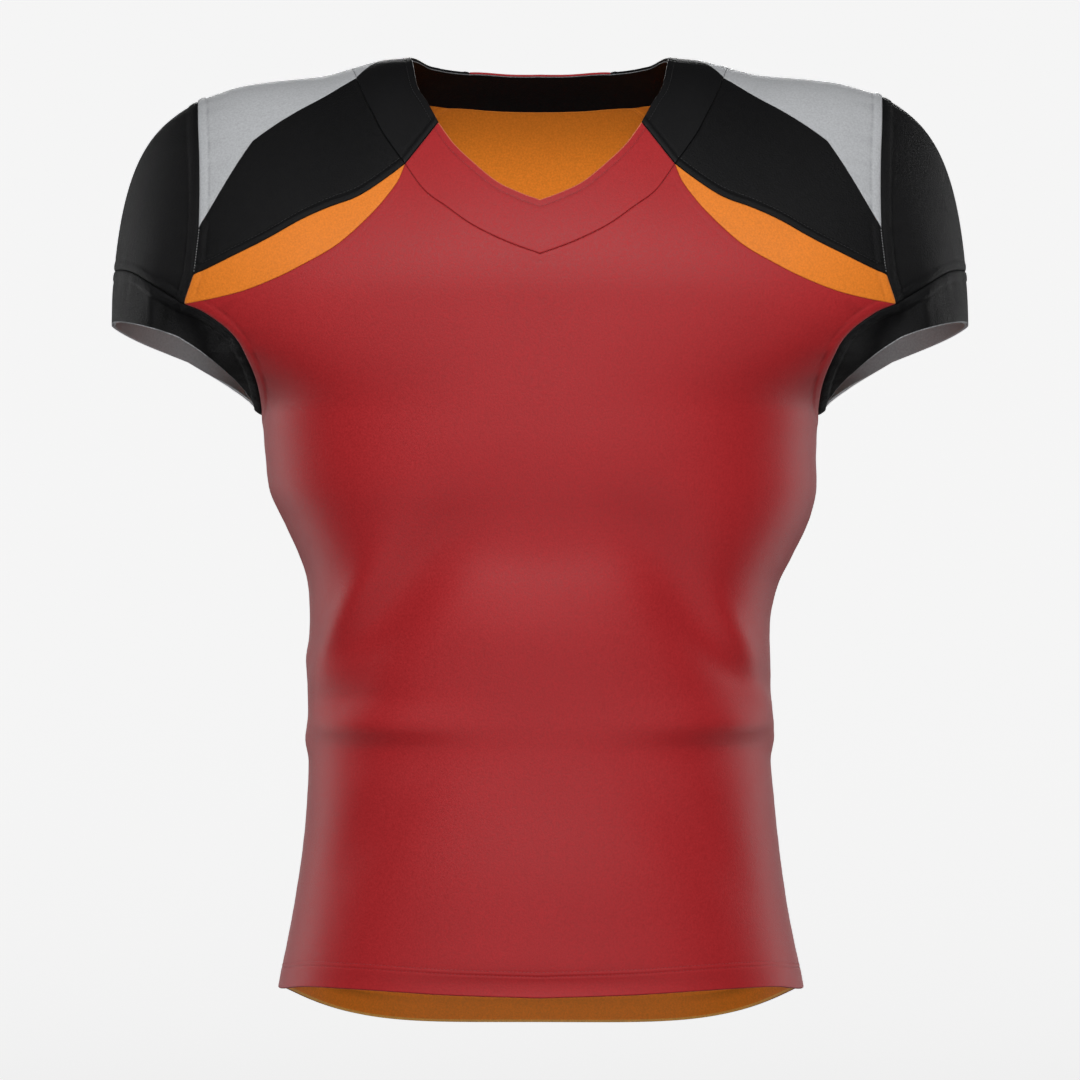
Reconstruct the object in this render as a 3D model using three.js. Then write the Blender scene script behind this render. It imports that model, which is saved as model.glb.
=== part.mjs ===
// A reversible football jersey, filled out as if worn, in millimetres with Z up.
// The origin lies midway between the tops of the shoulders, where the wearer holds it.
// +X is the wearer's left side and the front faces -Y.
// Every panel is a thin wall on one body form or on a sleeve lofted from its armhole.
import * as THREE from "three";

// Cloth and seams
const CLOTH = 1.6;
const BAND_CLOTH = 1.9;
const LINING_CLOTH = 1.2;
const HEM_CLOTH = 2.4;
const HEM_HEIGHT = 20;
const SEAM_GAP = 0.3;
const LINING_DEPTH = BAND_CLOTH + SEAM_GAP;
const FACING_DEPTH = BAND_CLOTH + 2 * SEAM_GAP;

// Body form: half widths and depths of the level sections below the armholes
const CHEST_Z = -180;
const ARMPIT_Z = -271;
const SECTIONS = [
  { z: -766, right: 213, left: 214.5, front: 132, back: 124 },
  { z: -728, right: 209, left: 210.5, front: 132, back: 124 },
  { z: -665, right: 197, left: 198, front: 128, back: 119 },
  { z: -607, right: 188.5, left: 190, front: 124, back: 113 },
  { z: -550, right: 185, left: 185.3, front: 121, back: 109 },
  { z: -480, right: 185.5, left: 184.5, front: 120, back: 107 },
  { z: -434, right: 184, left: 184, front: 122, back: 108 },
  { z: -405, right: 185.6, left: 190.6, front: 124, back: 110 },
  { z: -386, right: 191, left: 200, front: 125, back: 112 },
  { z: -357, right: 204, left: 214, front: 127, back: 115 },
  { z: -332, right: 215.6, left: 220.6, front: 129, back: 117 },
  { z: -303, right: 219.4, left: 220.6, front: 130, back: 119 },
  { z: ARMPIT_Z, right: 222, left: 222, front: 130, back: 120 },
];
const CHEST_HALF = { right: 337, left: 338 };
const SQUARENESS = 0.25;

// Shoulder arch: height of its ridge across the body, and how full its two slopes are
const RIDGE = [
  { x: 0, right: 31, left: 31 },
  { x: 50, right: 28.5, left: 28.5 },
  { x: 104, right: 15.7, left: 15.7 },
  { x: 128, right: 12.9, left: 12.9 },
  { x: 146, right: 8, left: 8.6 },
  { x: 172, right: 0.8, left: 1.8 },
  { x: 195, right: -1.8, left: -0.4 },
  { x: 217, right: -4.2, left: -2.4 },
  { x: 240, right: -8, left: -5.6 },
  { x: 262, right: -15.2, left: -11.8 },
  { x: 274, right: -19.8, left: -15.8 },
  { x: 296, right: -37, left: -33 },
  { x: 318, right: -67, left: -63 },
  { x: 337, right: -150, left: -150 },
];
const FRONT_SLOPE = 0.27;
const BACK_SLOPE = -0.1;
const ON_RIDGE = Infinity;

// Chart of the body form: angle round the body, and way up the front and down the back
const ARCH_WAY = 200;
const CHART_RADIUS = 260;

// Hem lines below the origin
const FRONT_HEM = [
  { x: 0, z: -727.5 },
  { x: 72, z: -725.5 },
  { x: 126, z: -723 },
  { x: 165, z: -722 },
  { x: 190, z: -723 },
  { x: 210, z: -728 },
];
const SIDE_HEM_Z = -728;
const BACK_TAIL = 38;
const TAIL_POWER = 4.2;

// Seams seen from the front or back, for one half of the body
const NECK_SIDE = [
  { x: 80, z: -41 },
  { x: 89, z: -24 },
  { x: 98, z: -7 },
  { x: 104, z: ON_RIDGE },
];
const NECK_FRONT = [
  { x: 0, z: -104 },
  { x: 16, z: -98 },
  { x: 34, z: -89 },
  { x: 53, z: -73 },
  { x: 68, z: -58 },
  { x: 80, z: -41 },
];
const NECK_BACK_SIDE = [
  { x: 104, z: ON_RIDGE },
  { x: 92, z: 13 },
  { x: 81, z: 10.5 },
  { x: 69, z: 9 },
  { x: 57, z: 8.2 },
];
const NECK_BACK = [
  { x: 57, z: 8.2 },
  { x: 28, z: 7 },
  { x: 0, z: 6.8 },
];
const BAND_SEAM_FRONT = [
  { x: 0, z: -147 },
  { x: 27, z: -137 },
  { x: 53, z: -124 },
  { x: 74, z: -109 },
  { x: 91, z: -96 },
  { x: 106, z: -75 },
];
const BAND_SEAM_YOKE = [
  { x: 106, z: -75 },
  { x: 123, z: -51 },
  { x: 132, z: -34 },
  { x: 139, z: -20 },
  { x: 146, z: -3 },
];
const BAND_SEAM_INSET = [
  { x: 146, z: -3 },
  { x: 152, z: ON_RIDGE },
];
const BAND_SEAM_YOKE_BACK = [
  { x: 146, z: -3 },
  { x: 133, z: -9 },
  { x: 112, z: -13 },
  { x: 91, z: -16 },
  { x: 75, z: -18 },
];
const BAND_SEAM_BACK = [
  { x: 75, z: -18 },
  { x: 40, z: -20 },
  { x: 0, z: -21 },
];
const YOKE_SEAM = [
  { x: 106, z: -75 },
  { x: 127, z: -91 },
  { x: 145, z: -102 },
  { x: 167, z: -110 },
  { x: 187, z: -119 },
  { x: 212, z: -133 },
  { x: 232, z: -143 },
  { x: 257, z: -155 },
  { x: 273, z: -162 },
];
const YOKE_SEAM_BACK = [
  { x: 75, z: -18 },
  { x: 110, z: -44 },
  { x: 150, z: -72 },
  { x: 190, z: -102 },
  { x: 232, z: -134 },
  { x: 273, z: -162 },
];
const CHEST_INSET_SEAM = [
  { x: 106, z: -75 },
  { x: 111, z: -88 },
  { x: 120, z: -101 },
  { x: 132, z: -115 },
  { x: 157, z: -138 },
  { x: 182, z: -153 },
  { x: 206, z: -165 },
  { x: 232, z: -175 },
  { x: 257, z: -181 },
  { x: 280, z: -185 },
];
const SHOULDER_INSET_EDGE = [
  { x: 269, z: -125 },
  { x: 227, z: -55 },
];
const SHOULDER_INSET_SEAM = [
  { x: 227, z: -55 },
  { x: 190, z: -29.5 },
  { x: 146, z: -3 },
];
const ARMHOLE_INSET = [
  { x: 274, z: ON_RIDGE },
  { x: 272, z: -39 },
  { x: 270, z: -67 },
  { x: 269, z: -96 },
  { x: 269, z: -125 },
];
const ARMHOLE_YOKE = [
  { x: 269, z: -125 },
  { x: 271, z: -145 },
  { x: 273, z: -162 },
];
const ARMHOLE_CHEST_INSET = [
  { x: 273, z: -162 },
  { x: 280, z: -185 },
];
const ARMHOLE_UNDERARM = [
  { x: 280, z: -185 },
  { x: 264, z: -192 },
  { x: 246, z: -205 },
  { x: 235, z: -219 },
  { x: 227, z: -237 },
  { x: 223, z: -253 },
  { x: 222, z: ARMPIT_Z },
];

// Sleeve end: its outer and inner points, its half depth and the arch of its two edges
const OPENING_OUTER = { x: 342.5, z: -200 };
const OPENING_INNER = { x: 229, z: -265.5 };
const OPENING_HALF_DEPTH = 75;
const OPENING_ARCH = { front: 22, back: 6.4 };
const OPENING_SAG = 10;
const CUFF_SEAM = [
  { x: 280, z: -185 },
  { x: 285, z: -182 },
  { x: 303, z: -171 },
  { x: 312, z: -165 },
  { x: 322, z: -159 },
  { x: 332, z: -156 },
  { x: 345, z: -156 },
];
const CAP_SWELL = 0.6;
const CUFF_DROP = 2.2;
const CUFF_FLARE = 0.05;

// Largest folds: place round the body from the wearer's left side over the front, height,
// lean of the crest, half length, half width, and how far it stands out or falls in
const FOLDS = [
  { round: 140, z: -526, lean: 4, length: 70, width: 12, out: -5 },
  { round: 142, z: -508, lean: 3, length: 75, width: 13, out: 4 },
  { round: 146, z: -486, lean: -6, length: 60, width: 12, out: -4 },
  { round: 150, z: -452, lean: -35, length: 80, width: 17, out: 4 },
  { round: 128, z: -405, lean: -52, length: 70, width: 20, out: -4 },
  { round: 38, z: -526, lean: -5, length: 75, width: 12, out: -6 },
  { round: 36, z: -507, lean: -4, length: 70, width: 13, out: 4 },
  { round: 34, z: -478, lean: 10, length: 65, width: 13, out: -4 },
  { round: 30, z: -450, lean: 24, length: 70, width: 16, out: 4 },
  { round: 48, z: -410, lean: 50, length: 70, width: 20, out: -3 },
  { round: 90, z: -345, lean: 0, length: 130, width: 34, out: -4 },
  { round: 90, z: -690, lean: 0, length: 90, width: 26, out: -3 },
  { round: 215, z: -520, lean: -6, length: 75, width: 13, out: -5 },
  { round: 222, z: -496, lean: 5, length: 80, width: 14, out: 4 },
  { round: 236, z: -462, lean: 22, length: 80, width: 17, out: -4 },
  { round: 322, z: -528, lean: 5, length: 80, width: 13, out: -5 },
  { round: 316, z: -503, lean: -3, length: 75, width: 14, out: 4 },
  { round: 302, z: -470, lean: -20, length: 80, width: 17, out: -4 },
  { round: 270, z: -430, lean: 3, length: 90, width: 24, out: -4 },
  { round: 178, z: -530, lean: 0, length: 30, width: 11, out: 3 },
  { round: 178, z: -465, lean: 0, length: 30, width: 12, out: 2 },
  { round: 2, z: -528, lean: 0, length: 30, width: 11, out: 3.5 },
];
const FOLD_RADIUS = 170;
const CALM_FROM = 40;
const CALM_TO = 120;

// How finely the panels are divided
const SIDE_STEPS = 18;
const UNDERARM_STEPS = 9;
const CHEST_INSET_STEPS = 2;
const YOKE_STEPS = 4;
const INSET_STEPS = 5;
const INSET_EDGE_STEPS = 3;
const SEAM_STEPS = 8;
const NECK_STEPS = 4;
const NECK_SIDE_STEPS = YOKE_STEPS + INSET_STEPS;
const BAND_STEPS = 3;
const CAP_STEPS = 7;
const CUFF_STEPS = 3;
const CORNER = INSET_STEPS + YOKE_STEPS + CHEST_INSET_STEPS;
const ARMPIT = CORNER + UNDERARM_STEPS;
const SIDES = ["right", "left"];

// How quickly the front panel's rows leave the shape of its side edges, so that they don't
// cross below the points of the chest insets
const FRONT_FALL_OFF = 5;

// Where the sleeve's curves turn from the swell of the cap to straight underarm cloth,
// as minus the cosine of the angle round the sleeve end
const CAP_UNTIL = -0.1;
const STRAIGHT_FROM = 0.6;

// Small numbers of the working: steps for slopes, halvings of a search, nearest points
const ANGLE_STEP = 0.004;
const WAY_STEP = 0.8;
const PART_STEP = 0.01;
const HALVINGS = 40;
const SAME_POINT = 1e-6;
const SHARPEST_CORNER = 0.02;

const RED = 0x9a2a2f;
const BLACK = 0x1c1c1d;
const GREY = 0xa2a4a7;
const ORANGE = 0xdc7e2c;

const radians = THREE.MathUtils.degToRad;
const clamp = THREE.MathUtils.clamp;

// Smooth curve through the rows of a table: column `to` where column `from` has the value
function lookUp(rows, from, to, value) {
  const at = clamp(value, rows[0][from], rows[rows.length - 1][from]);
  const slope = (i) => {
    const before = rows[Math.max(i - 1, 0)];
    const after = rows[Math.min(i + 1, rows.length - 1)];
    return (after[to] - before[to]) / (after[from] - before[from]);
  };
  let i = 0;
  while (i < rows.length - 2 && at > rows[i + 1][from]) i += 1;
  const span = rows[i + 1][from] - rows[i][from];
  const t = (at - rows[i][from]) / span;
  const ease = t * t * (3 - 2 * t);
  return rows[i][to] * (1 - ease) + rows[i + 1][to] * ease
    + span * t * (1 - t) * ((1 - t) * slope(i) - t * slope(i + 1));
}

// Half width of the body form, which opens from the armpit to the full chest
function halfWidth(z, side) {
  const t = clamp((z - ARMPIT_Z) / (CHEST_Z - ARMPIT_Z), 0, 1);
  const opening = CHEST_HALF[side] - SECTIONS[SECTIONS.length - 1][side];
  return lookUp(SECTIONS, "z", side, z) + opening * t * t * (3 - 2 * t);
}

function ridgeHeight(x) {
  return lookUp(RIDGE, "x", x < 0 ? "right" : "left", Math.abs(x));
}

function archRise(turn, back) {
  const slope = back ? BACK_SLOPE : FRONT_SLOPE;
  return Math.sin(turn) * (1 - slope * Math.cos(turn) ** 2);
}

// Point of the smooth body form at an angle from the left side and a way up and over
function formPoint(angle, way) {
  const back = way > ARCH_WAY;
  const up = back ? 2 * ARCH_WAY - way : way;
  const level = CHEST_Z + Math.min(up, 0);
  const x = halfWidth(level, Math.cos(angle) < 0 ? "right" : "left") * Math.cos(angle);
  const bulge = Math.sin(angle) * (1 + SQUARENESS * Math.cos(angle) ** 2);
  const depth = lookUp(SECTIONS, "z", back ? "back" : "front", level) * bulge;
  const turn = (clamp(up, 0, ARCH_WAY) / ARCH_WAY) * (Math.PI / 2);
  const y = (back ? depth : -depth) * Math.cos(turn);
  return new THREE.Vector3(x, y, level + (ridgeHeight(x) - CHEST_Z) * archRise(turn, back));
}

// Outward normal of a surface given by two numbers, from small steps either way
function normalOf(surface, angle, way) {
  const across = surface(angle + ANGLE_STEP, way).sub(surface(angle - ANGLE_STEP, way));
  const upward = surface(angle, way + WAY_STEP).sub(surface(angle, way - WAY_STEP));
  return upward.cross(across).normalize();
}

// How far the folds move the cloth out at a place of the body form
function foldHeight(angle, way) {
  const up = way > ARCH_WAY ? 2 * ARCH_WAY - way : way;
  const round = way > ARCH_WAY ? 2 * Math.PI - angle : angle;
  const z = formPoint(angle, way).z;
  let height = 0;
  for (const fold of FOLDS) {
    const apart = round - radians(fold.round);
    const along = Math.atan2(Math.sin(apart), Math.cos(apart)) * FOLD_RADIUS;
    const lean = radians(fold.lean);
    const onCrest = along * Math.cos(lean) + (z - fold.z) * Math.sin(lean);
    const offCrest = (z - fold.z) * Math.cos(lean) - along * Math.sin(lean);
    height += fold.out * Math.exp(-((onCrest / fold.length) ** 2) - (offCrest / fold.width) ** 2);
  }
  return height * (1 - THREE.MathUtils.smoothstep(up, CALM_FROM, CALM_TO));
}

function foldedPoint(angle, way) {
  const normal = normalOf(formPoint, angle, way);
  return formPoint(angle, way).addScaledVector(normal, foldHeight(angle, way));
}

// Place in the chart of a point seen from the front or the back
function chartPlace(x, z, back) {
  const angle = Math.acos(x / halfWidth(Math.min(z, CHEST_Z), x < 0 ? "right" : "left"));
  const goal = clamp((z - CHEST_Z) / (ridgeHeight(x) - CHEST_Z), 0, 1);
  let low = 0;
  let high = Math.PI / 2;
  for (let i = 0; i < HALVINGS; i += 1) {
    const middle = (low + high) / 2;
    if (archRise(middle, back) < goal) low = middle;
    else high = middle;
  }
  const up = z < CHEST_Z ? z - CHEST_Z : (low / (Math.PI / 2)) * ARCH_WAY;
  return new THREE.Vector2(angle * CHART_RADIUS, back ? 2 * ARCH_WAY - up : up);
}

// Evenly spaced chart places along a seam
function seam(rows, side, back, steps) {
  const sign = side === "left" ? 1 : -1;
  const places = rows.map((row) => chartPlace(sign * row.x, row.z, back));
  return new THREE.SplineCurve(places).getSpacedPoints(steps);
}

// One run from several seams that follow each other
function joined(...runs) {
  return runs.flatMap((run, i) => (i === 0 ? run : run.slice(1)));
}

function reversed(run) {
  return [...run].reverse();
}

// Rows of chart places between four runs: straight from the bottom to the top run, and
// drawn to the two side runs by a share that falls off away from them
function fill(bottom, top, first, last, fallOff = 1) {
  const rows = first.length - 1;
  const columns = bottom.length - 1;
  return first.map((_, j) => bottom.map((__, k) => {
    const t = j / rows;
    const s = k / columns;
    const across = (column) => bottom[column].clone().lerp(top[column], t);
    return across(k)
      .addScaledVector(first[j].clone().sub(across(0)), (1 - s) ** fallOff)
      .addScaledVector(last[j].clone().sub(across(columns)), s ** fallOff);
  }));
}

// Points and normals of the folded body form at rows of chart places
function onBody(rows) {
  return rows.map((row) => row.map((place) => {
    const angle = place.x / CHART_RADIUS;
    return {
      point: foldedPoint(angle, place.y),
      normal: normalOf(foldedPoint, angle, place.y),
    };
  }));
}

function movedIn(grid, depth) {
  return grid.map((row) => row.map(({ point, normal }) => ({
    point: point.clone().addScaledVector(normal, -depth),
    normal,
  })));
}

// Draws the edge of a closed loop of cells back into the panel by half the seam gap
function drawBack(loop, handed) {
  const groups = [];
  for (const cell of loop) {
    const last = groups[groups.length - 1];
    if (last && last[0].point.distanceTo(cell.point) < SAME_POINT) last.push(cell);
    else groups.push([cell]);
  }
  const ends = groups[groups.length - 1];
  if (ends[0].point.distanceTo(groups[0][0].point) < SAME_POINT) groups[0].push(...groups.pop());
  const inward = (from, to) => to[0].point.clone().sub(from[0].point)
    .cross(from[0].normal).multiplyScalar(-handed).normalize();
  const moves = groups.map((group, i) => {
    const before = inward(groups[(i + groups.length - 1) % groups.length], group);
    const after = inward(group, groups[(i + 1) % groups.length]);
    const spread = Math.max(1 + before.dot(after), SHARPEST_CORNER);
    return before.add(after).multiplyScalar(SEAM_GAP / 2 / spread);
  });
  groups.forEach((group, i) => group.forEach((cell) => {
    cell.point = cell.point.clone().add(moves[i]);
  }));
}

function handOf(grid) {
  const j = Math.floor((grid.length - 1) / 2);
  const k = Math.floor((grid[0].length - 1) / 2);
  const here = grid[j][k];
  const across = grid[j][k + 1].point.clone().sub(here.point);
  const upward = grid[j + 1][k].point.clone().sub(here.point);
  return Math.sign(across.cross(upward).dot(here.normal));
}

function drawEdgesBack(grid, ring) {
  const hand = handOf(grid);
  const top = grid[grid.length - 1];
  if (ring) {
    drawBack(grid[0], hand);
    drawBack([...top].reverse(), hand);
    return;
  }
  const end = grid[0].length - 1;
  const up = grid.slice(1, -1).map((row) => row[end]);
  const down = grid.slice(1, -1).map((row) => row[0]).reverse();
  drawBack([...grid[0], ...up, ...[...top].reverse(), ...down], hand);
}

// Closed wall of cloth inward from a grid of outer cells; a ring closes on itself
function clothWall(name, colour, source, thicknessAt, ring = false) {
  const grid = source.map((row) => row.map((cell) => ({ ...cell })));
  drawEdgesBack(grid, ring);
  const positions = [];
  const numbers = new Map();
  const numberOf = (point) => {
    const key = point.toArray().map((value) => value.toFixed(3)).join();
    if (!numbers.has(key)) {
      numbers.set(key, numbers.size);
      positions.push(...point.toArray());
    }
    return numbers.get(key);
  };
  const outer = grid.map((row) => row.map(({ point }) => numberOf(point)));
  const inner = grid.map((row, j) => row.map(({ point, normal }, k) => (
    numberOf(point.clone().addScaledVector(normal, -thicknessAt(j, k))))));
  const index = [];
  const triangle = (a, b, c) => {
    if (a !== b && b !== c && c !== a) index.push(a, b, c);
  };
  const quad = (a, b, c, d) => {
    triangle(a, b, c);
    triangle(a, c, d);
  };
  const rows = grid.length - 1;
  const columns = ring ? grid[0].length : grid[0].length - 1;
  const next = (k) => (k + 1) % grid[0].length;
  for (let j = 0; j < rows; j += 1) {
    for (let k = 0; k < columns; k += 1) {
      quad(outer[j][k], outer[j][next(k)], outer[j + 1][next(k)], outer[j + 1][k]);
      quad(inner[j][k], inner[j + 1][k], inner[j + 1][next(k)], inner[j][next(k)]);
    }
    if (!ring) {
      quad(outer[j][0], outer[j + 1][0], inner[j + 1][0], inner[j][0]);
      quad(outer[j + 1][columns], outer[j][columns], inner[j][columns], inner[j + 1][columns]);
    }
  }
  for (let k = 0; k < columns; k += 1) {
    quad(outer[0][next(k)], outer[0][k], inner[0][k], inner[0][next(k)]);
    quad(outer[rows][k], outer[rows][next(k)], inner[rows][next(k)], inner[rows][k]);
  }
  if (handOf(grid) < 0) index.reverse();
  const geometry = new THREE.BufferGeometry();
  geometry.setAttribute("position", new THREE.Float32BufferAttribute(positions, 3));
  geometry.setIndex(index);
  geometry.computeVertexNormals();
  const material = new THREE.MeshStandardMaterial({ color: colour, roughness: 0.75, metalness: 0 });
  const mesh = new THREE.Mesh(geometry, material);
  mesh.name = name;
  return mesh;
}

const even = (thickness) => () => thickness;

// Hem runs from the wearer's right side to the left
function hemRun(back) {
  const columns = 2 * (SEAM_STEPS + NECK_STEPS);
  return Array.from({ length: columns + 1 }, (_, k) => {
    const angle = Math.PI * (1 - k / columns);
    const x = Math.abs(formPoint(angle, SIDE_HEM_Z - CHEST_Z).x);
    const halfHem = lookUp(SECTIONS, "z", "left", SIDE_HEM_Z);
    const tail = BACK_TAIL * (1 - Math.min(x / halfHem, 1) ** TAIL_POWER);
    const z = back ? SIDE_HEM_Z - tail : lookUp(FRONT_HEM, "x", "z", x);
    const way = z - CHEST_Z;
    return new THREE.Vector2(angle * CHART_RADIUS, back ? 2 * ARCH_WAY - way : way);
  });
}

// Side seam from the hem up to the armpit
function sideRun(side, back) {
  const angle = side === "left" ? 0 : Math.PI;
  return Array.from({ length: SIDE_STEPS + 1 }, (_, j) => {
    const way = THREE.MathUtils.lerp(SIDE_HEM_Z, ARMPIT_Z, j / SIDE_STEPS) - CHEST_Z;
    return new THREE.Vector2(angle * CHART_RADIUS, back ? 2 * ARCH_WAY - way : way);
  });
}

// Seams of one half of the body, as chart places
function halfSeams(side) {
  const run = (rows, back, steps) => seam(rows, side, back, steps);
  const both = (rows, steps) => ({ front: run(rows, false, steps), back: run(rows, true, steps) });
  const insetSeam = (back) => joined(
    run(SHOULDER_INSET_EDGE, back, INSET_EDGE_STEPS),
    run(SHOULDER_INSET_SEAM, back, SEAM_STEPS - INSET_EDGE_STEPS));
  return {
    underarm: both(ARMHOLE_UNDERARM, UNDERARM_STEPS),
    chestArmhole: both(ARMHOLE_CHEST_INSET, CHEST_INSET_STEPS),
    yokeArmhole: both(ARMHOLE_YOKE, YOKE_STEPS),
    insetArmhole: both(ARMHOLE_INSET, INSET_STEPS),
    insetSeam: { front: insetSeam(false), back: insetSeam(true) },
    bandInset: both(BAND_SEAM_INSET, INSET_STEPS),
    chestInset: run(CHEST_INSET_SEAM, false, SEAM_STEPS),
    yoke: run(YOKE_SEAM, false, SEAM_STEPS),
    yokeBack: run(YOKE_SEAM_BACK, true, SEAM_STEPS),
    bandFront: run(BAND_SEAM_FRONT, false, NECK_STEPS),
    bandYoke: run(BAND_SEAM_YOKE, false, YOKE_STEPS),
    bandYokeBack: run(BAND_SEAM_YOKE_BACK, true, YOKE_STEPS),
    bandBack: run(BAND_SEAM_BACK, true, NECK_STEPS),
    neckFront: run(NECK_FRONT, false, NECK_STEPS),
    neckSide: run(NECK_SIDE, false, NECK_SIDE_STEPS),
    neckBackSide: run(NECK_BACK_SIDE, true, NECK_SIDE_STEPS),
    neckBack: run(NECK_BACK, true, NECK_STEPS),
  };
}

const seams = { right: halfSeams("right"), left: halfSeams("left") };
const jersey = new THREE.Group();
jersey.name = "reversible_jersey";

// Front panel from the hem to the chest insets and the point of the neckband
function addFront() {
  const { right, left } = seams;
  const top = joined(
    reversed(right.chestInset), reversed(right.bandFront), left.bandFront, left.chestInset);
  const first = joined(sideRun("right", false), reversed(right.underarm.front));
  const last = joined(sideRun("left", false), reversed(left.underarm.front));
  const grid = onBody(fill(hemRun(false), top, first, last, FRONT_FALL_OFF));
  const thickness = (j, k) => {
    const aboveHem = grid[j][k].point.z - grid[0][k].point.z;
    return aboveHem < HEM_HEIGHT ? HEM_CLOTH : CLOTH;
  };
  jersey.add(clothWall("front", RED, grid, thickness));
}

// Back panel with its dropped tail, and the orange layer inside it
function addBack() {
  const { right, left } = seams;
  const top = joined(
    reversed(right.yokeBack), right.bandBack, reversed(left.bandBack), left.yokeBack);
  const upTo = (side) => joined(sideRun(side, true), reversed(seams[side].underarm.back),
    reversed(seams[side].chestArmhole.back));
  const grid = onBody(fill(hemRun(true), top, upTo("right"), upTo("left")));
  jersey.add(clothWall("back", RED, grid, even(CLOTH)));
  const lining = movedIn(grid, LINING_DEPTH);
  jersey.add(clothWall("back_lining", ORANGE, lining, even(LINING_CLOTH)));
}

// Neckband in front, over each shoulder and behind, and the facing inside its back
function addNeckband() {
  const { right, left } = seams;
  const between = (outer, inner) => onBody(Array.from({ length: BAND_STEPS + 1 }, (_, j) => (
    outer.map((place, k) => place.clone().lerp(inner[k], j / BAND_STEPS)))));
  const front = between(
    joined(reversed(right.bandFront), left.bandFront),
    joined(reversed(right.neckFront), left.neckFront));
  jersey.add(clothWall("neckband_front", RED, front, even(BAND_CLOTH)));
  const overShoulder = (half) => between(
    joined(half.bandYoke, half.bandInset.front, reversed(half.bandInset.back), half.bandYokeBack),
    joined(half.neckSide, half.neckBackSide));
  for (const side of SIDES) {
    const grid = overShoulder(seams[side]);
    jersey.add(clothWall("neckband_" + side, BLACK, grid, even(BAND_CLOTH)));
  }
  const behind = between(
    joined(right.bandBack, reversed(left.bandBack)),
    joined(right.neckBack, reversed(left.neckBack)));
  jersey.add(clothWall("neckband_back", RED, behind, even(BAND_CLOTH)));
  const rightEnd = overShoulder(right).map((row) => row.slice(NECK_SIDE_STEPS));
  const leftEnd = overShoulder(left).map((row) => row.slice(NECK_SIDE_STEPS).reverse());
  const facing = behind.map((row, j) => [
    ...rightEnd[j], ...row.slice(1, -1), ...leftEnd[j],
  ]);
  const inside = movedIn(facing, FACING_DEPTH);
  jersey.add(clothWall("neck_facing", BLACK, inside, even(LINING_CLOTH)));
}

// Black yoke in front and behind, with the orange layer inside its back
function addYoke(side) {
  const half = seams[side];
  const front = onBody(fill(
    half.yoke, reversed(half.insetSeam.front),
    half.bandYoke, reversed(half.yokeArmhole.front)));
  jersey.add(clothWall("yoke_front_" + side, BLACK, front, even(CLOTH)));
  const back = onBody(fill(
    half.yokeBack, reversed(half.insetSeam.back),
    reversed(half.bandYokeBack), reversed(half.yokeArmhole.back)));
  jersey.add(clothWall("yoke_back_" + side, BLACK, back, even(CLOTH)));
  const lining = movedIn(back, LINING_DEPTH);
  jersey.add(clothWall("yoke_lining_" + side, ORANGE, lining, even(LINING_CLOTH)));
}

// Grey wedge that folds over the shoulder between the armhole and the neckband
function addShoulderInset(side) {
  const half = seams[side];
  const armhole = joined(reversed(half.insetArmhole.front), half.insetArmhole.back);
  const band = joined(half.bandInset.front, reversed(half.bandInset.back));
  const grid = onBody(fill(half.insetSeam.front, half.insetSeam.back, armhole, band));
  jersey.add(clothWall("shoulder_inset_" + side, GREY, grid, even(CLOTH)));
}

// Orange piece under the yoke, which tapers to a point at the neckband
function addChestInset(side) {
  const half = seams[side];
  const point = Array.from({ length: CHEST_INSET_STEPS + 1 }, () => half.yoke[0].clone());
  const grid = onBody(fill(
    half.chestInset, half.yoke, point, reversed(half.chestArmhole.front)));
  jersey.add(clothWall("chest_inset_" + side, ORANGE, grid, even(CLOTH)));
}

// Armhole from the shoulder down the front to the armpit and up the back
function armholeLoop(side) {
  const half = seams[side];
  const down = (face) => joined(half.insetArmhole[face], half.yokeArmhole[face],
    half.chestArmhole[face], half.underarm[face]);
  const loop = joined(down("front"), reversed(down("back")));
  return onBody([loop.slice(0, -1)])[0];
}

// Angles round the sleeve end that face each armhole point, by length along the armhole
function openingAngles(loop) {
  const lengths = [0];
  const pointAt = (i) => loop[i % loop.length].point;
  for (let i = 1; i <= loop.length; i += 1) {
    lengths.push(lengths[i - 1] + pointAt(i).distanceTo(pointAt(i - 1)));
  }
  const share = (i, from, to) => (lengths[i] - lengths[from]) / (lengths[to] - lengths[from]);
  const backCorner = loop.length - CORNER;
  return loop.map((_, i) => {
    if (i <= CORNER) return 90 * share(i, 0, CORNER);
    if (i <= ARMPIT) return 90 + 90 * share(i, CORNER, ARMPIT);
    if (i <= backCorner) return 180 + 90 * share(i, ARMPIT, backCorner);
    return 270 + 90 * share(i, backCorner, loop.length);
  }).map(radians);
}

function openingPoint(side, angle) {
  const sign = side === "left" ? 1 : -1;
  const part = (1 - Math.cos(angle)) / 2;
  const face = Math.sin(angle);
  const sag = OPENING_SAG * Math.max(Math.cos(angle), 0);
  const arch = (face > 0 ? OPENING_ARCH.front : OPENING_ARCH.back) - sag;
  return new THREE.Vector3(
    sign * THREE.MathUtils.lerp(OPENING_OUTER.x, OPENING_INNER.x, part),
    -OPENING_HALF_DEPTH * face,
    THREE.MathUtils.lerp(OPENING_OUTER.z, OPENING_INNER.z, part) + arch * Math.abs(face));
}

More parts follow.
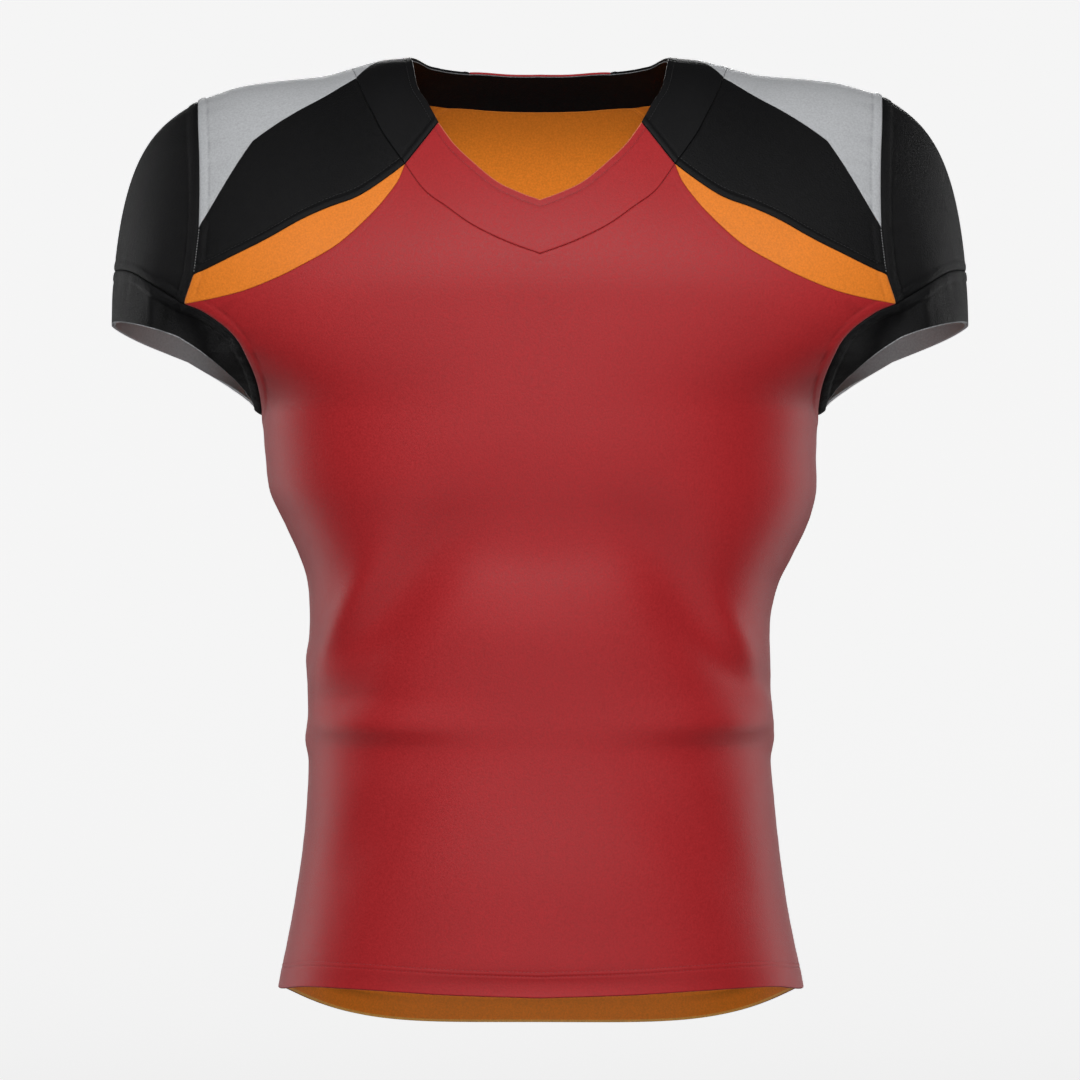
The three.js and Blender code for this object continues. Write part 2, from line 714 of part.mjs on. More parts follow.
// Sleeve as curves from each armhole point to the sleeve end
function sleeveCurves(side) {
  const loop = armholeLoop(side);
  const angles = openingAngles(loop);
  return loop.map(({ point, normal }, i) => {
    const end = openingPoint(side, angles[i]);
    const straight = end.clone().sub(point);
    const length = straight.length();
    const turned = -Math.cos(angles[i]);
    const underarm = THREE.MathUtils.smoothstep(turned, CAP_UNTIL, STRAIGHT_FROM);
    const leave = straight.clone().addScaledVector(normal, -straight.dot(normal));
    leave.setLength(length * CAP_SWELL);
    const flare = side === "left" ? CUFF_FLARE : -CUFF_FLARE;
    const arrive = new THREE.Vector3(length * flare, 0, -length * CUFF_DROP);
    leave.lerp(straight, underarm);
    arrive.lerp(straight, underarm);
    return { point, end, leave, arrive };
  });
}

function curvePoint(curve, t) {
  const ease = t * t * (3 - 2 * t);
  return curve.point.clone().multiplyScalar(1 - ease)
    .addScaledVector(curve.end, ease)
    .addScaledVector(curve.leave, t * (1 - t) ** 2)
    .addScaledVector(curve.arrive, -t * t * (1 - t));
}

// Cells of the sleeve at a part of the way down each of its curves
function sleeveCells(curves, parts) {
  const around = (i, t) => curvePoint(curves[(i + curves.length) % curves.length], t);
  return parts.map((t, i) => {
    const above = around(i, Math.max(t - PART_STEP, 0));
    const down = around(i, Math.min(t + PART_STEP, 1)).sub(above);
    const across = around(i + 1, t).sub(around(i - 1, t));
    return { point: around(i, t), normal: across.cross(down).normalize() };
  });
}

// Part of the way down each curve at which the cuff is sewn to the cap
function cuffSeamParts(curves) {
  return curves.map((curve, i) => {
    const fromTop = Math.min(i, curves.length - i);
    if (fromTop >= CORNER) return 0;
    let low = 0;
    let high = 1;
    for (let n = 0; n < HALVINGS; n += 1) {
      const middle = (low + high) / 2;
      const point = curvePoint(curve, middle);
      if (point.z > lookUp(CUFF_SEAM, "x", "z", Math.abs(point.x))) low = middle;
      else high = middle;
    }
    return low;
  });
}

function addSleeve(side) {
  const curves = sleeveCurves(side);
  const seamParts = cuffSeamParts(curves);
  const rowsBetween = (from, to, steps) => Array.from({ length: steps + 1 }, (_, j) => (
    sleeveCells(curves, curves.map((__, i) => THREE.MathUtils.lerp(from[i], to[i], j / steps)))));
  const none = curves.map(() => 0);
  const all = curves.map(() => 1);
  const capRows = rowsBetween(none, seamParts, CAP_STEPS);
  const overTop = (row) => [...row.slice(row.length - CORNER), ...row.slice(0, CORNER + 1)];
  const outward = (cells) => (side === "left" ? cells : cells.map((cell) => ({
    point: cell.point, normal: cell.normal.clone().negate() })));
  const cap = capRows.map((row) => outward(overTop(row)));
  jersey.add(clothWall("sleeve_cap_" + side, BLACK, cap, even(CLOTH)));
  const cuff = rowsBetween(seamParts, all, CUFF_STEPS).map(outward);
  jersey.add(clothWall("cuff_" + side, BLACK, cuff, even(CLOTH), true));
  const lining = movedIn(cuff, CLOTH + SEAM_GAP);
  jersey.add(clothWall("cuff_lining_" + side, GREY, lining, even(LINING_CLOTH), true));
}

addFront();
addBack();
addNeckband();
for (const side of SIDES) {
  addYoke(side);
  addShoulderInset(side);
  addChestInset(side);
  addSleeve(side);
}

export default jersey;
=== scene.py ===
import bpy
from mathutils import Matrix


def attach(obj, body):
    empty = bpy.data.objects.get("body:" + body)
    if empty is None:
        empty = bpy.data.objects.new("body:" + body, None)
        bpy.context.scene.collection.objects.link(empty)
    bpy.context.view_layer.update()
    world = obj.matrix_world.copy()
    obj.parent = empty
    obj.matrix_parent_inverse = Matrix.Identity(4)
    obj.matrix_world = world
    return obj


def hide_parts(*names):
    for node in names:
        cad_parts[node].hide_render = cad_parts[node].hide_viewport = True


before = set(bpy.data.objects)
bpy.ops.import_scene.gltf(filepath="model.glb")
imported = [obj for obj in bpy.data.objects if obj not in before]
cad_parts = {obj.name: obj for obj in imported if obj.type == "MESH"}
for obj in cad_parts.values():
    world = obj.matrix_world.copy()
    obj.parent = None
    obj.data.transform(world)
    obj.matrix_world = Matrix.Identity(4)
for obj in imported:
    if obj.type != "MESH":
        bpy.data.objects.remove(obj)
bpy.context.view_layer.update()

import bpy
import numpy as np
from mathutils import Vector


# Studio: a level camera far enough off to show the jersey without much perspective, a pale
# round floor that sweeps up into a wall far off, a large soft light above the camera, weaker
# ones below it, overhead and behind, and a tall strip at each side.
scene = bpy.context.scene
CAMERA_AWAY = 5.0
CAMERA_HEIGHT = -0.3704
VIEW_WIDTH = 0.864
SENSOR = 36.0


def placed(name, data):
    """New object of the scene that shows a mesh, a lamp or a camera."""
    thing = bpy.data.objects.new(name, data)
    scene.collection.objects.link(thing)
    return thing


camera_data = bpy.data.cameras.new("camera")
camera_data.sensor_width = SENSOR
camera_data.lens = SENSOR * CAMERA_AWAY / VIEW_WIDTH
camera_data.clip_start = 0.1
camera_data.clip_end = 60
camera = placed("camera", camera_data)
camera.location = (0, -CAMERA_AWAY, CAMERA_HEIGHT)
camera.rotation_euler = (np.pi / 2, 0, 0)
scene.camera = camera
scene.view_settings.view_transform = "Standard"

FLOOR_Z = -1.5
FLOOR_RADIUS = 8.0
SWEEP = 1.5
WALL_TOP = 6.0
STAGE_SIDES = 64
SWEEP_STEPS = 16


def stage_profile(steps):
    """Level floor, a quarter circle and an upright wall, as (radius, height) from the middle."""
    turn = np.linspace(0, np.pi / 2, steps)
    curve = np.stack([FLOOR_RADIUS + SWEEP * np.sin(turn), FLOOR_Z + SWEEP * (1 - np.cos(turn))], -1)
    return np.vstack([[0, FLOOR_Z], curve, [FLOOR_RADIUS + SWEEP, WALL_TOP]])


def grid_faces(number, ring):
    """Four-sided faces between the numbered points of a grid, closed on itself if it is a ring."""
    if ring:
        number = np.concatenate([number, number[:, :1]], axis=1)
    return np.stack([number[:-1, :-1], number[:-1, 1:], number[1:, 1:], number[1:, :-1]],
                    -1).reshape(-1, 4)


def new_material(name):
    """New material, with its nodes, their links and its shader."""
    material = bpy.data.materials.new(name)
    material.use_nodes = True
    tree = material.node_tree
    return material, tree.nodes, tree.links, tree.nodes["Principled BSDF"]


profile = stage_profile(SWEEP_STEPS)
around = np.arange(STAGE_SIDES) * 2 * np.pi / STAGE_SIDES
ring_points = np.stack([profile[1:, :1] * np.cos(around), profile[1:, :1] * np.sin(around),
                        np.broadcast_to(profile[1:, 1:], (len(profile) - 1, STAGE_SIDES))], -1)
stage_points = np.vstack([[[0, 0, FLOOR_Z]], ring_points.reshape(-1, 3)])
number = 1 + np.arange(ring_points[..., 0].size).reshape(ring_points.shape[:2])
stage_faces = grid_faces(number, True)[:, ::-1].tolist()
stage_faces += [(0, int(a), int(b)) for a, b in zip(number[0], np.roll(number[0], -1))]
stage_mesh = bpy.data.meshes.new("floor")
stage_mesh.from_pydata(stage_points, [], stage_faces)
stage_mesh.shade_smooth()
floor = placed("floor", stage_mesh)
paper, _, _, paper_shader = new_material("studio paper")
paper_shader.inputs["Base Color"].default_value = (0.93, 0.93, 0.93, 1)
paper_shader.inputs["Roughness"].default_value = 0.9
paper_shader.inputs["Specular IOR Level"].default_value = 0.1
paper_shader.inputs["Emission Color"].default_value = (1, 1, 1, 1)
paper_shader.inputs["Emission Strength"].default_value = 0.8
stage_mesh.materials.append(paper)
floor.visible_diffuse = False
floor.visible_glossy = False
floor.visible_shadow = False

STUDIO_LIGHTS = {
    "key": {"at": (0.0, -2.8, 1.1), "towards": (0, 0, -0.4), "size": (1.6, 1.0), "power": 89},
    "low": {"at": (0.0, -2.5, -1.45), "towards": (0, 0, -0.7), "size": (2.6, 0.4), "power": 25},
    "top": {"at": (0.0, -0.6, 1.8), "towards": (0, 0, 0), "size": (1.8, 0.5), "power": 5},
    "behind": {"at": (0.0, 3.2, 0.8), "towards": (0, 0, -0.4), "size": (1.8, 1.2), "power": 55},
    "strip_right": {"at": (-1.8, 0.85, -0.4), "towards": (0, 0, -0.4), "size": (0.5, 2.4), "power": 20},
    "strip_left": {"at": (1.8, 0.85, -0.4), "towards": (0, 0, -0.4), "size": (0.5, 2.4), "power": 20},
}
for name, light in STUDIO_LIGHTS.items():
    lamp = bpy.data.lights.new(name, "AREA")
    lamp.shape = "RECTANGLE"
    lamp.size, lamp.size_y = light["size"]
    lamp.energy = light["power"]
    holder = placed(name, lamp)
    holder.location = light["at"]
    ahead = Vector(light["towards"]) - Vector(light["at"])
    holder.rotation_euler = ahead.to_track_quat("-Z", "Y").to_euler()
world = bpy.data.worlds.new("studio air")
world.use_nodes = True
air = world.node_tree.nodes["Background"]
air.inputs["Color"].default_value = (1, 1, 1, 1)
air.inputs["Strength"].default_value = 0.05
scene.world = world


# Front panel: polyester knit in two layers, red outside and orange inside, cut in one piece
# from the hem to the chest insets and the neckband. Its hem is turned up and held by two
# rows of stitching. All panels of the body lie on one form, so they meet at their seams.
MM = 0.001
SIDES = ("right", "left")
SIGN = {"right": -1, "left": 1}
CHEST_Z = -180
ARMPIT_Z = -271
SIDE_HEM_Z = -728
SECTIONS = np.array([
    # height, half width on the wearer's right and left, depth in front and behind
    (-766, 213, 214.5, 132, 124),
    (-728, 209, 210.5, 132, 124),
    (-665, 197, 198, 128, 119),
    (-607, 188.5, 190, 124, 113),
    (-550, 185, 185.3, 121, 109),
    (-480, 185.5, 184.5, 120, 107),
    (-434, 184, 184, 122, 108),
    (-405, 185.6, 190.6, 124, 110),
    (-386, 191, 200, 125, 112),
    (-357, 204, 214, 127, 115),
    (-332, 215.6, 220.6, 129, 117),
    (-303, 219.4, 220.6, 130, 119),
    (ARMPIT_Z, 222, 222, 130, 120),
], float)
CHEST_HALF = {"right": 337, "left": 338}
SQUARENESS = 0.25
RIDGE = np.array([
    # distance from the middle, height of the shoulder ridge on the right and left
    (0, 31, 31),
    (50, 28.5, 28.5),
    (104, 15.7, 15.7),
    (128, 12.9, 12.9),
    (146, 8, 8.6),
    (172, 0.8, 1.8),
    (195, -1.8, -0.4),
    (217, -4.2, -2.4),
    (240, -8, -5.6),
    (262, -15.2, -11.8),
    (274, -19.8, -15.8),
    (296, -37, -33),
    (318, -67, -63),
    (337, -150, -150),
], float)
SLOPE = {"front": 0.27, "back": -0.1}
ON_RIDGE = np.inf
ARCH_WAY = 200
CHART_RADIUS = 260
FRONT_HEM = np.array([(0, -727.5), (72, -725.5), (126, -723), (165, -722), (190, -723), (210, -728)])
BACK_TAIL = 38
TAIL_POWER = 4.2
BAND_SEAM_FRONT = [(0, -147), (27, -137), (53, -124), (74, -109), (91, -96), (106, -75)]
CHEST_INSET_SEAM = [(106, -75), (111, -88), (120, -101), (132, -115), (157, -138), (182, -153),
                    (206, -165), (232, -175), (257, -181), (280, -185)]
ARMHOLE_UNDERARM = [(280, -185), (264, -192), (246, -205), (235, -219), (227, -237), (223, -253),
                    (222, ARMPIT_Z)]
STEPS = {"hem": 24, "side": 18, "underarm": 9, "chest_inset": 2, "yoke": 4, "inset": 5,
         "inset_edge": 3, "inset_rest": 5, "seam": 8, "neck": 4, "neck_side": 9}
DENSE = 40
CURVE_STEPS = 200
HALVINGS = 40
FOLDS = np.array([
    # place round the body from the left side over the front, height, lean, half length,
    # half width, how far it stands out, bend of its crest, and how much sharper its lower side is
    (136, -535, 0, 80, 15, -4.5, 0, -0.5),
    (138, -517, 0, 82, 12, 4, 0, 0.5),
    (146, -496, -3, 55, 11, -3.5, 0, -0.2),
    (150, -473, -8, 55, 12, 2, 0, 0.1),
    (147, -430, -44, 60, 16, 5, 0, 0),
    (126, -414, -48, 80, 27, -10, 0, 0),
    (35, -535, 0, 92, 15, -5, 0, -0.5),
    (33, -516, 0, 90, 13, 4.5, 0, 0.5),
    (20, -482, 10, 45, 11, -3.5, 0, 0.2),
    (31, -451, 40, 60, 16, 5.5, 0, 0),
    (52, -416, 46, 82, 27, -9.5, 0, 0),
    (90, -372, 0, 95, 42, -7, 0, 0),
    (94, -455, 6, 95, 45, 3.5, 0, 0),
    (92, -640, 0, 120, 50, 3, 0, 0),
    (90, -719, 0, 125, 15, -4.5, 0, -0.3),
    (130, -590, -40, 60, 26, -3, 0, 0),
    (52, -600, 42, 65, 26, -2.5, 0, 0),
    (215, -524, -6, 75, 13, -5, 0, 0.3),
    (222, -499, 5, 80, 14, 4.5, 0, 0.2),
    (236, -462, 22, 80, 17, -4, 0, 0),
    (210, -430, 40, 60, 15, 4.5, 0, 0),
    (322, -532, 5, 80, 13, -5.5, 0, 0.3),
    (316, -507, -3, 75, 14, 4.5, 0, 0.2),
    (302, -470, -20, 80, 17, -4, 0, 0),
    (330, -436, -38, 60, 15, 4.5, 0, 0),
    (270, -405, 3, 120, 34, -5, 0, 0),
    (268, -620, -4, 110, 48, 3, 0, 0),
    (178, -530, 0, 30, 11, 3, 0, 0),
    (178, -465, 0, 30, 12, 2, 0, 0),
    (2, -530, 0, 30, 11, 3.5, 0, 0),
], float)
FOLD_RADIUS = 170
CALM_FROM = 40
CALM_TO = 120


def look_up(table, column, value):
    """Smooth curve through the rows of a table: a column where the first column has the value."""
    at, out = table[:, 0], table[:, column]
    order = np.arange(len(at))
    before, after = np.maximum(order - 1, 0), np.minimum(order + 1, len(at) - 1)
    slope = (out[after] - out[before]) / (at[after] - at[before])
    value = np.clip(value, at[0], at[-1])
    i = np.clip(np.searchsorted(at, value, side="left") - 1, 0, len(at) - 2)
    span = at[i + 1] - at[i]
    t = (value - at[i]) / span
    ease = t * t * (3 - 2 * t)
    return (out[i] * (1 - ease) + out[i + 1] * ease
            + span * t * (1 - t) * ((1 - t) * slope[i] - t * slope[i + 1]))


def smooth(value, low, high):
    """Rises from 0 at low to 1 at high with level ends."""
    t = np.clip((value - low) / (high - low), 0, 1)
    return t * t * (3 - 2 * t)


def half_width(z, left):
    """Half width of the body form, which opens from the armpit to the full chest."""
    full = np.where(left, CHEST_HALF["left"], CHEST_HALF["right"])
    opening = (full - SECTIONS[-1, 1]) * smooth(z, ARMPIT_Z, CHEST_Z)
    return np.where(left, look_up(SECTIONS, 2, z), look_up(SECTIONS, 1, z)) + opening


def ridge_height(x):
    """Height of the shoulder ridge at a distance from the middle."""
    return np.where(x < 0, look_up(RIDGE, 1, np.abs(x)), look_up(RIDGE, 2, np.abs(x)))


def arch_rise(turn, back):
    """Share of the way up to the ridge at an angle of the shoulder arch."""
    slope = np.where(back, SLOPE["back"], SLOPE["front"])
    return np.sin(turn) * (1 - slope * np.cos(turn) ** 2)


def form_point(angle, way):
    """Body form: below the chest a squarish oval, above it an arch over the shoulder ridge.
    The angle runs from the left side over the front, the way up the front and down the back."""
    back = way > ARCH_WAY
    up = np.where(back, 2 * ARCH_WAY - way, way)
    level = CHEST_Z + np.minimum(up, 0)
    x = half_width(level, np.cos(angle) >= 0) * np.cos(angle)
    bulge = np.sin(angle) * (1 + SQUARENESS * np.cos(angle) ** 2)
    depth = np.where(back, look_up(SECTIONS, 4, level), look_up(SECTIONS, 3, level)) * bulge
    turn = np.clip(up, 0, ARCH_WAY) / ARCH_WAY * np.pi / 2
    y = np.where(back, depth, -depth) * np.cos(turn)
    return np.stack([x, y, level + (ridge_height(x) - CHEST_Z) * arch_rise(turn, back)], -1)


def unit(vectors):
    """Vectors made one long."""
    return vectors / np.maximum(np.linalg.norm(vectors, axis=-1, keepdims=True), 1e-12)


def normal_of(surface, angle, way):
    """Outward normal of a surface of two numbers, from small steps either way."""
    turn, rise = 0.004, 0.8
    across = surface(angle + turn, way) - surface(angle - turn, way)
    upward = surface(angle, way + rise) - surface(angle, way - rise)
    return unit(np.cross(upward, across))


def fold_height(angle, way):
    """Sum of soft ridges and troughs: each is a bell along its crest and a bell across it,
    steeper on its lower side, and all fade out towards the shoulders."""
    up = np.where(way > ARCH_WAY, 2 * ARCH_WAY - way, way)
    turned = np.where(way > ARCH_WAY, 2 * np.pi - angle, angle)
    z = form_point(angle, way)[..., 2]
    height = np.zeros(np.shape(angle))
    for at, level, lean, length, width, out, bend, sharp in FOLDS:
        apart = turned - np.radians(at)
        round_body = np.arctan2(np.sin(apart), np.cos(apart)) * FOLD_RADIUS
        lean = np.radians(lean)
        on_crest = round_body * np.cos(lean) + (z - level) * np.sin(lean)
        off_crest = (z - level) * np.cos(lean) - round_body * np.sin(lean)
        off_crest = off_crest - bend * on_crest ** 2 / 1000
        wide = width * np.where(off_crest < 0, 1 - sharp, 1 + sharp)
        height += out * np.exp(-((on_crest / length) ** 2) - (off_crest / wide) ** 2)
    return height * (1 - smooth(up, CALM_FROM, CALM_TO))


def folded_point(angle, way):
    """Body form moved out along its normal by the folds."""
    normal = normal_of(form_point, angle, way)
    return form_point(angle, way) + normal * fold_height(angle, way)[..., None]


def chart_places(rows, side, back):
    """Chart places, as angle times radius and way, of points seen from the front or the back."""
    x, z = np.array(rows, float).T
    x = x * SIGN[side]
    angle = np.arccos(x / half_width(np.minimum(z, CHEST_Z), x >= 0))
    goal = np.clip((z - CHEST_Z) / (ridge_height(x) - CHEST_Z), 0, 1)
    low, high = np.zeros(len(x)), np.full(len(x), np.pi / 2)
    for _ in range(HALVINGS):
        middle = (low + high) / 2
        under = arch_rise(middle, back) < goal
        low, high = np.where(under, middle, low), np.where(under, high, middle)
    up = np.where(z < CHEST_Z, z - CHEST_Z, low / (np.pi / 2) * ARCH_WAY)
    return np.stack([angle * CHART_RADIUS, 2 * ARCH_WAY - up if back else up], -1)


def length_along(line):
    """How far along a line of short straight pieces each of its points lies."""
    return np.append(0, np.cumsum(np.linalg.norm(np.diff(line, axis=0), axis=1)))


def read_off(at, length, values):
    """Values at places along a line whose points lie at these lengths."""
    return np.stack([np.interp(at, length, column) for column in values.T], -1)


def seam(rows, side, back, steps):
    """Closely and evenly spaced chart places on a smooth curve through the rows."""
    at = chart_places(rows, side, back)
    padded = np.vstack([at[:1], at, at[-1:]])
    t = np.linspace(0, len(at) - 1, CURVE_STEPS * (len(at) - 1) + 1)
    i = np.minimum(t.astype(int), len(at) - 2)
    before, start, end, after = (padded[i + k] for k in range(4))
    leave, arrive = (end - before) / 2, (after - start) / 2
    t = (t - i)[:, None]
    curve = ((2 * start - 2 * end + leave + arrive) * t ** 3
             + (-3 * start + 3 * end - 2 * leave - arrive) * t ** 2 + leave * t + start)
    length = length_along(curve)
    return read_off(np.linspace(0, length[-1], steps * DENSE + 1), length, curve)


def both_sides(rows, back, steps):
    """The same seam on the wearer's right and left, all of it in front or all of it behind."""
    return {side: seam(rows, side, back, STEPS[steps]) for side in SIDES}


def all_round(rows, steps):
    """The same seam on the wearer's right and left, and for each in front and behind."""
    return {(side, back): seam(rows, side, back, STEPS[steps])
            for side in SIDES for back in (False, True)}


def joined(*runs):
    """One run from several that follow each other."""
    return np.vstack([runs[0]] + [run[1:] for run in runs[1:]])


def along(run, part):
    """Points at parts of the way along a run."""
    return read_off(np.asarray(part) * (len(run) - 1), np.arange(len(run)), run)


def fill(bottom, top, first, last, s, t, fall_off=1):
    """Places between four runs: straight from bottom to top, and moved out to the first and
    last run by a share that falls off across the panel as fast as the power says."""
    low, high = along(bottom, s)[None], along(top, s)[None]
    start, end = along(first, t)[:, None], along(last, t)[:, None]
    s, t = s[None, :, None], t[:, None, None]
    start = start - bottom[0] * (1 - t) - top[0] * t
    end = end - bottom[-1] * (1 - t) - top[-1] * t
    return low * (1 - t) + high * t + (1 - s) ** fall_off * start + s ** fall_off * end


def on_body(places):
    """Points and outward normals of the folded form at chart places."""
    angle, way = places[..., 0] / CHART_RADIUS, places[..., 1]
    return folded_point(angle, way), normal_of(folded_point, angle, way)


NEAR_EDGE = np.array([0, 0.05, 0.12, 0.2, 0.32, 0.48, 0.7, 0.95, 1.25, 1.55, 1.85, 2.15, 2.5])
FINE_CELLS = 3


def parts(cells):
    """Parts of a side in even cells, the outer ones of them divided finely for the seams."""
    even = np.arange(FINE_CELLS, cells - FINE_CELLS + 1) / cells
    return np.concatenate([NEAR_EDGE / cells, even, 1 - NEAR_EDGE[::-1] / cells])


POINTS_AT_ONCE = 4000


def distance_to(points, line):
    """Distance of points from a line of short straight pieces, and how far along it they lie."""
    flat = points.reshape(-1, 3)
    length = length_along(line)
    square = (line ** 2).sum(1)
    nearest = np.concatenate([np.argmin(square - 2 * block @ line.T, axis=1)
                              for block in np.array_split(flat, len(flat) // POINTS_AT_ONCE + 1)])
    best = np.full(len(flat), np.inf)
    place = np.zeros(len(flat))
    for step in (-1, 0):
        i = np.clip(nearest + step, 0, len(line) - 2)
        piece = line[i + 1] - line[i]
        t = ((flat - line[i]) * piece).sum(1) / np.maximum((piece ** 2).sum(1), 1e-12)
        t = np.clip(t, 0, 1)
        away = np.linalg.norm(flat - line[i] - piece * t[:, None], axis=1)
        closer = away < best
        best = np.where(closer, away, best)
        place = np.where(closer, length[i] + t * np.linalg.norm(piece, axis=1), place)
    return best.reshape(points.shape[:-1]), place.reshape(points.shape[:-1])


PUCKER_LENGTH = 19
PUCKER_REACH = 7
PUCKER_WAVES = (
    # height, length as a share, and start of each sine
    (0.5, 1, 0), (0.3, 0.63, 1.3), (0.3, 1.71, 4.1))
GROOVE = 0.8
FOOT_SHARE = 0.35


def bell(value, width):
    """Bell curve, 1 at zero and down to about a third a width away."""
    return np.exp(-((value / width) ** 2))


def uneven(place):
    """Slow uneven wave along a seam, between about -1 and 1: a sum of sines."""
    return sum(high * np.sin(place * 2 * np.pi / (PUCKER_LENGTH * long) + start)
               for high, long, start in PUCKER_WAVES)


EDGE_EASE = (1.2, 1.6)
EDGE_RISE = 2.0
FOOT_AWAY = 1.4
FOOT_WIDTH = 1.2


def seam_relief(points, line, turned, raised, puckers, deep):
    """Height beside a sewn seam: cloth sinks deep into the seam, stands up over the turned
    edge pressed flat under it, dips at its foot, and puckers unevenly beside the stitches."""
    away, place = distance_to(points, line)
    sunk = -deep * bell(away, GROOVE)
    over = 1 - smooth(away, turned - EDGE_EASE[0], turned + EDGE_EASE[1])
    step = raised * over * (1 - bell(away, EDGE_RISE))
    foot = -FOOT_SHARE * raised * bell(away - turned - FOOT_AWAY, FOOT_WIDTH)
    pull = puckers * (away / PUCKER_REACH) * np.exp(1 - away / PUCKER_REACH) * uneven(place)
    return sunk + step + foot + pull


STITCH_GROOVE = 0.9


def stitch_channel(points, line, inside, deep):
    """Narrow groove at a distance inside a line, where stitches pull the cloth down."""
    return -deep * bell(distance_to(points, line)[0] - inside, STITCH_GROOVE)


EDGE_SHARE = 0.4


def rounded(away, thickness):
    """How far each face of a wall drops towards its middle near the edge, as a quarter of an
    oval that starts at a share of the thickness from it."""
    near = np.clip(1 - away / (EDGE_SHARE * thickness), 0, 1)
    return thickness / 2 * (1 - np.sqrt(1 - near ** 2))


# Depth at which the painted shade in a seam is full.
DEEP_SEAM = 0.5


def border(grid):
    """Points round the edge of a grid, closed."""
    return np.vstack([grid[0], grid[1:, -1], grid[-1, -2::-1], grid[-2::-1, 0]])


def cloth_wall(name, points, normals, relief, thickness, uv, outside, inside, ring=False,
               trim_and_highlight=None, shade=None):
    """Closed wall of cloth: an outer grid with its relief, the same grid moved in by the
    thickness, and one shared row of points where both round off at the edge. Each point keeps a
    painted shade, from how deep it is sunk or as the piece gives it, and how far inside a second
    colour or a painted highlight it lies."""
    points = points + normals * relief[..., None]
    if ring:
        closed = np.concatenate([points, points[:, :1]], axis=1)
        away = np.minimum(distance_to(points, closed[0])[0], distance_to(points, closed[-1])[0])
    else:
        away = distance_to(points, border(points))[0]
    drop = rounded(away, thickness)[..., None]
    outer = points - normals * drop
    inner = points - normals * (np.asarray(thickness)[..., None] - drop)
    rows, columns = points.shape[:2]
    outer_number = np.arange(rows * columns).reshape(rows, columns)
    inner_number = outer_number.copy()
    free = np.s_[1:-1, :] if ring else np.s_[1:-1, 1:-1]
    count = inner_number[free].size
    inner_number[free] = rows * columns + np.arange(count).reshape(inner_number[free].shape)
    corners = np.vstack([outer.reshape(-1, 3), inner[free].reshape(-1, 3)]) * MM
    chart = np.vstack([uv.reshape(-1, 2), uv[free].reshape(-1, 2)]) * MM
    middle = np.s_[rows // 2, columns // 2]
    span = points[rows // 2, columns // 2 + 1] - points[middle]
    rise = points[rows // 2 + 1, columns // 2] - points[middle]
    outward = np.dot(np.cross(span, rise), normals[middle]) > 0
    outer_faces, inner_faces = grid_faces(outer_number, ring), grid_faces(inner_number, ring)
    if outward:
        inner_faces = inner_faces[:, ::-1]
    else:
        outer_faces = outer_faces[:, ::-1]
    faces = np.vstack([outer_faces, inner_faces])
    mesh = bpy.data.meshes.new(name)
    mesh.from_pydata(corners, [], faces)
    mesh.materials.append(outside)
    mesh.materials.append(inside)
    which = np.repeat([0, 1], [len(outer_faces), len(inner_faces)])
    mesh.polygons.foreach_set("material_index", which)
    layer = mesh.uv_layers.new(name="cloth")
    corner_numbers = np.empty(len(mesh.loops), np.int32)
    mesh.loops.foreach_get("vertex_index", corner_numbers)
    layer.data.foreach_set("uv", chart[corner_numbers].astype(np.float32).ravel())
    # Painted shade: darker the deeper a seam sinks the cloth, unless the piece gives its own painted
    # shade.
    sunk = np.clip(-relief / DEEP_SEAM, 0, 1) if shade is None else shade
    for mark, value in (("sunk", sunk), ("trim_and_highlight", relief * 0 if trim_and_highlight is None else trim_and_highlight)):
        held = mesh.attributes.new(mark, "FLOAT", "POINT")
        value = np.append(value.ravel(), value[free].ravel())
        held.data.foreach_set("value", value.astype(np.float32))
    mesh.shade_smooth()
    return placed(name, mesh)


def knit_pattern():
    """Node group for knitted cloth: V-shaped loops in columns and rows, as a height and as a
    mask of the gaps between the loops. Takes the cloth's own coordinates and the loop size."""
    group = bpy.data.node_groups.new("knit loops", "ShaderNodeTree")
    group.interface.new_socket("Cloth", in_out="INPUT", socket_type="NodeSocketVector")
    group.interface.new_socket("Loops per metre", in_out="INPUT", socket_type="NodeSocketFloat")
    group.interface.new_socket("Height", in_out="OUTPUT", socket_type="NodeSocketFloat")
    group.interface.new_socket("Gaps", in_out="OUTPUT", socket_type="NodeSocketFloat")
    nodes, links = group.nodes, group.links
    inside, out = nodes.new("NodeGroupInput"), nodes.new("NodeGroupOutput")

    def maths(operation, first, second=None):
        node = nodes.new("ShaderNodeMath")
        node.operation = operation
        for socket, value in zip(node.inputs, (first, second)):
            if isinstance(value, (int, float)):
                socket.default_value = value
            elif value is not None:
                links.new(value, socket)
        return node.outputs[0]

    split = nodes.new("ShaderNodeSeparateXYZ")
    links.new(inside.outputs["Cloth"], split.inputs[0])
    column = maths("MULTIPLY", split.outputs["X"], inside.outputs["Loops per metre"])
    row = maths("MULTIPLY", split.outputs["Y"], inside.outputs["Loops per metre"])
    lean = maths("ABSOLUTE", maths("SUBTRACT", maths("FRACT", column), 0.5))
    wave = maths("COSINE", maths("MULTIPLY", maths("ADD", row, lean), 2 * np.pi))
    legs = maths("ABSOLUTE", maths("SINE", maths("MULTIPLY", column, 2 * np.pi)))
    height = maths("MULTIPLY", maths("ADD", maths("MULTIPLY", wave, 0.5), 0.5), legs)
    links.new(height, out.inputs["Height"])
    links.new(maths("SUBTRACT", 1.0, height), out.inputs["Gaps"])
    return group


knit = knit_pattern()


LOOPS_PER_METRE = 1300


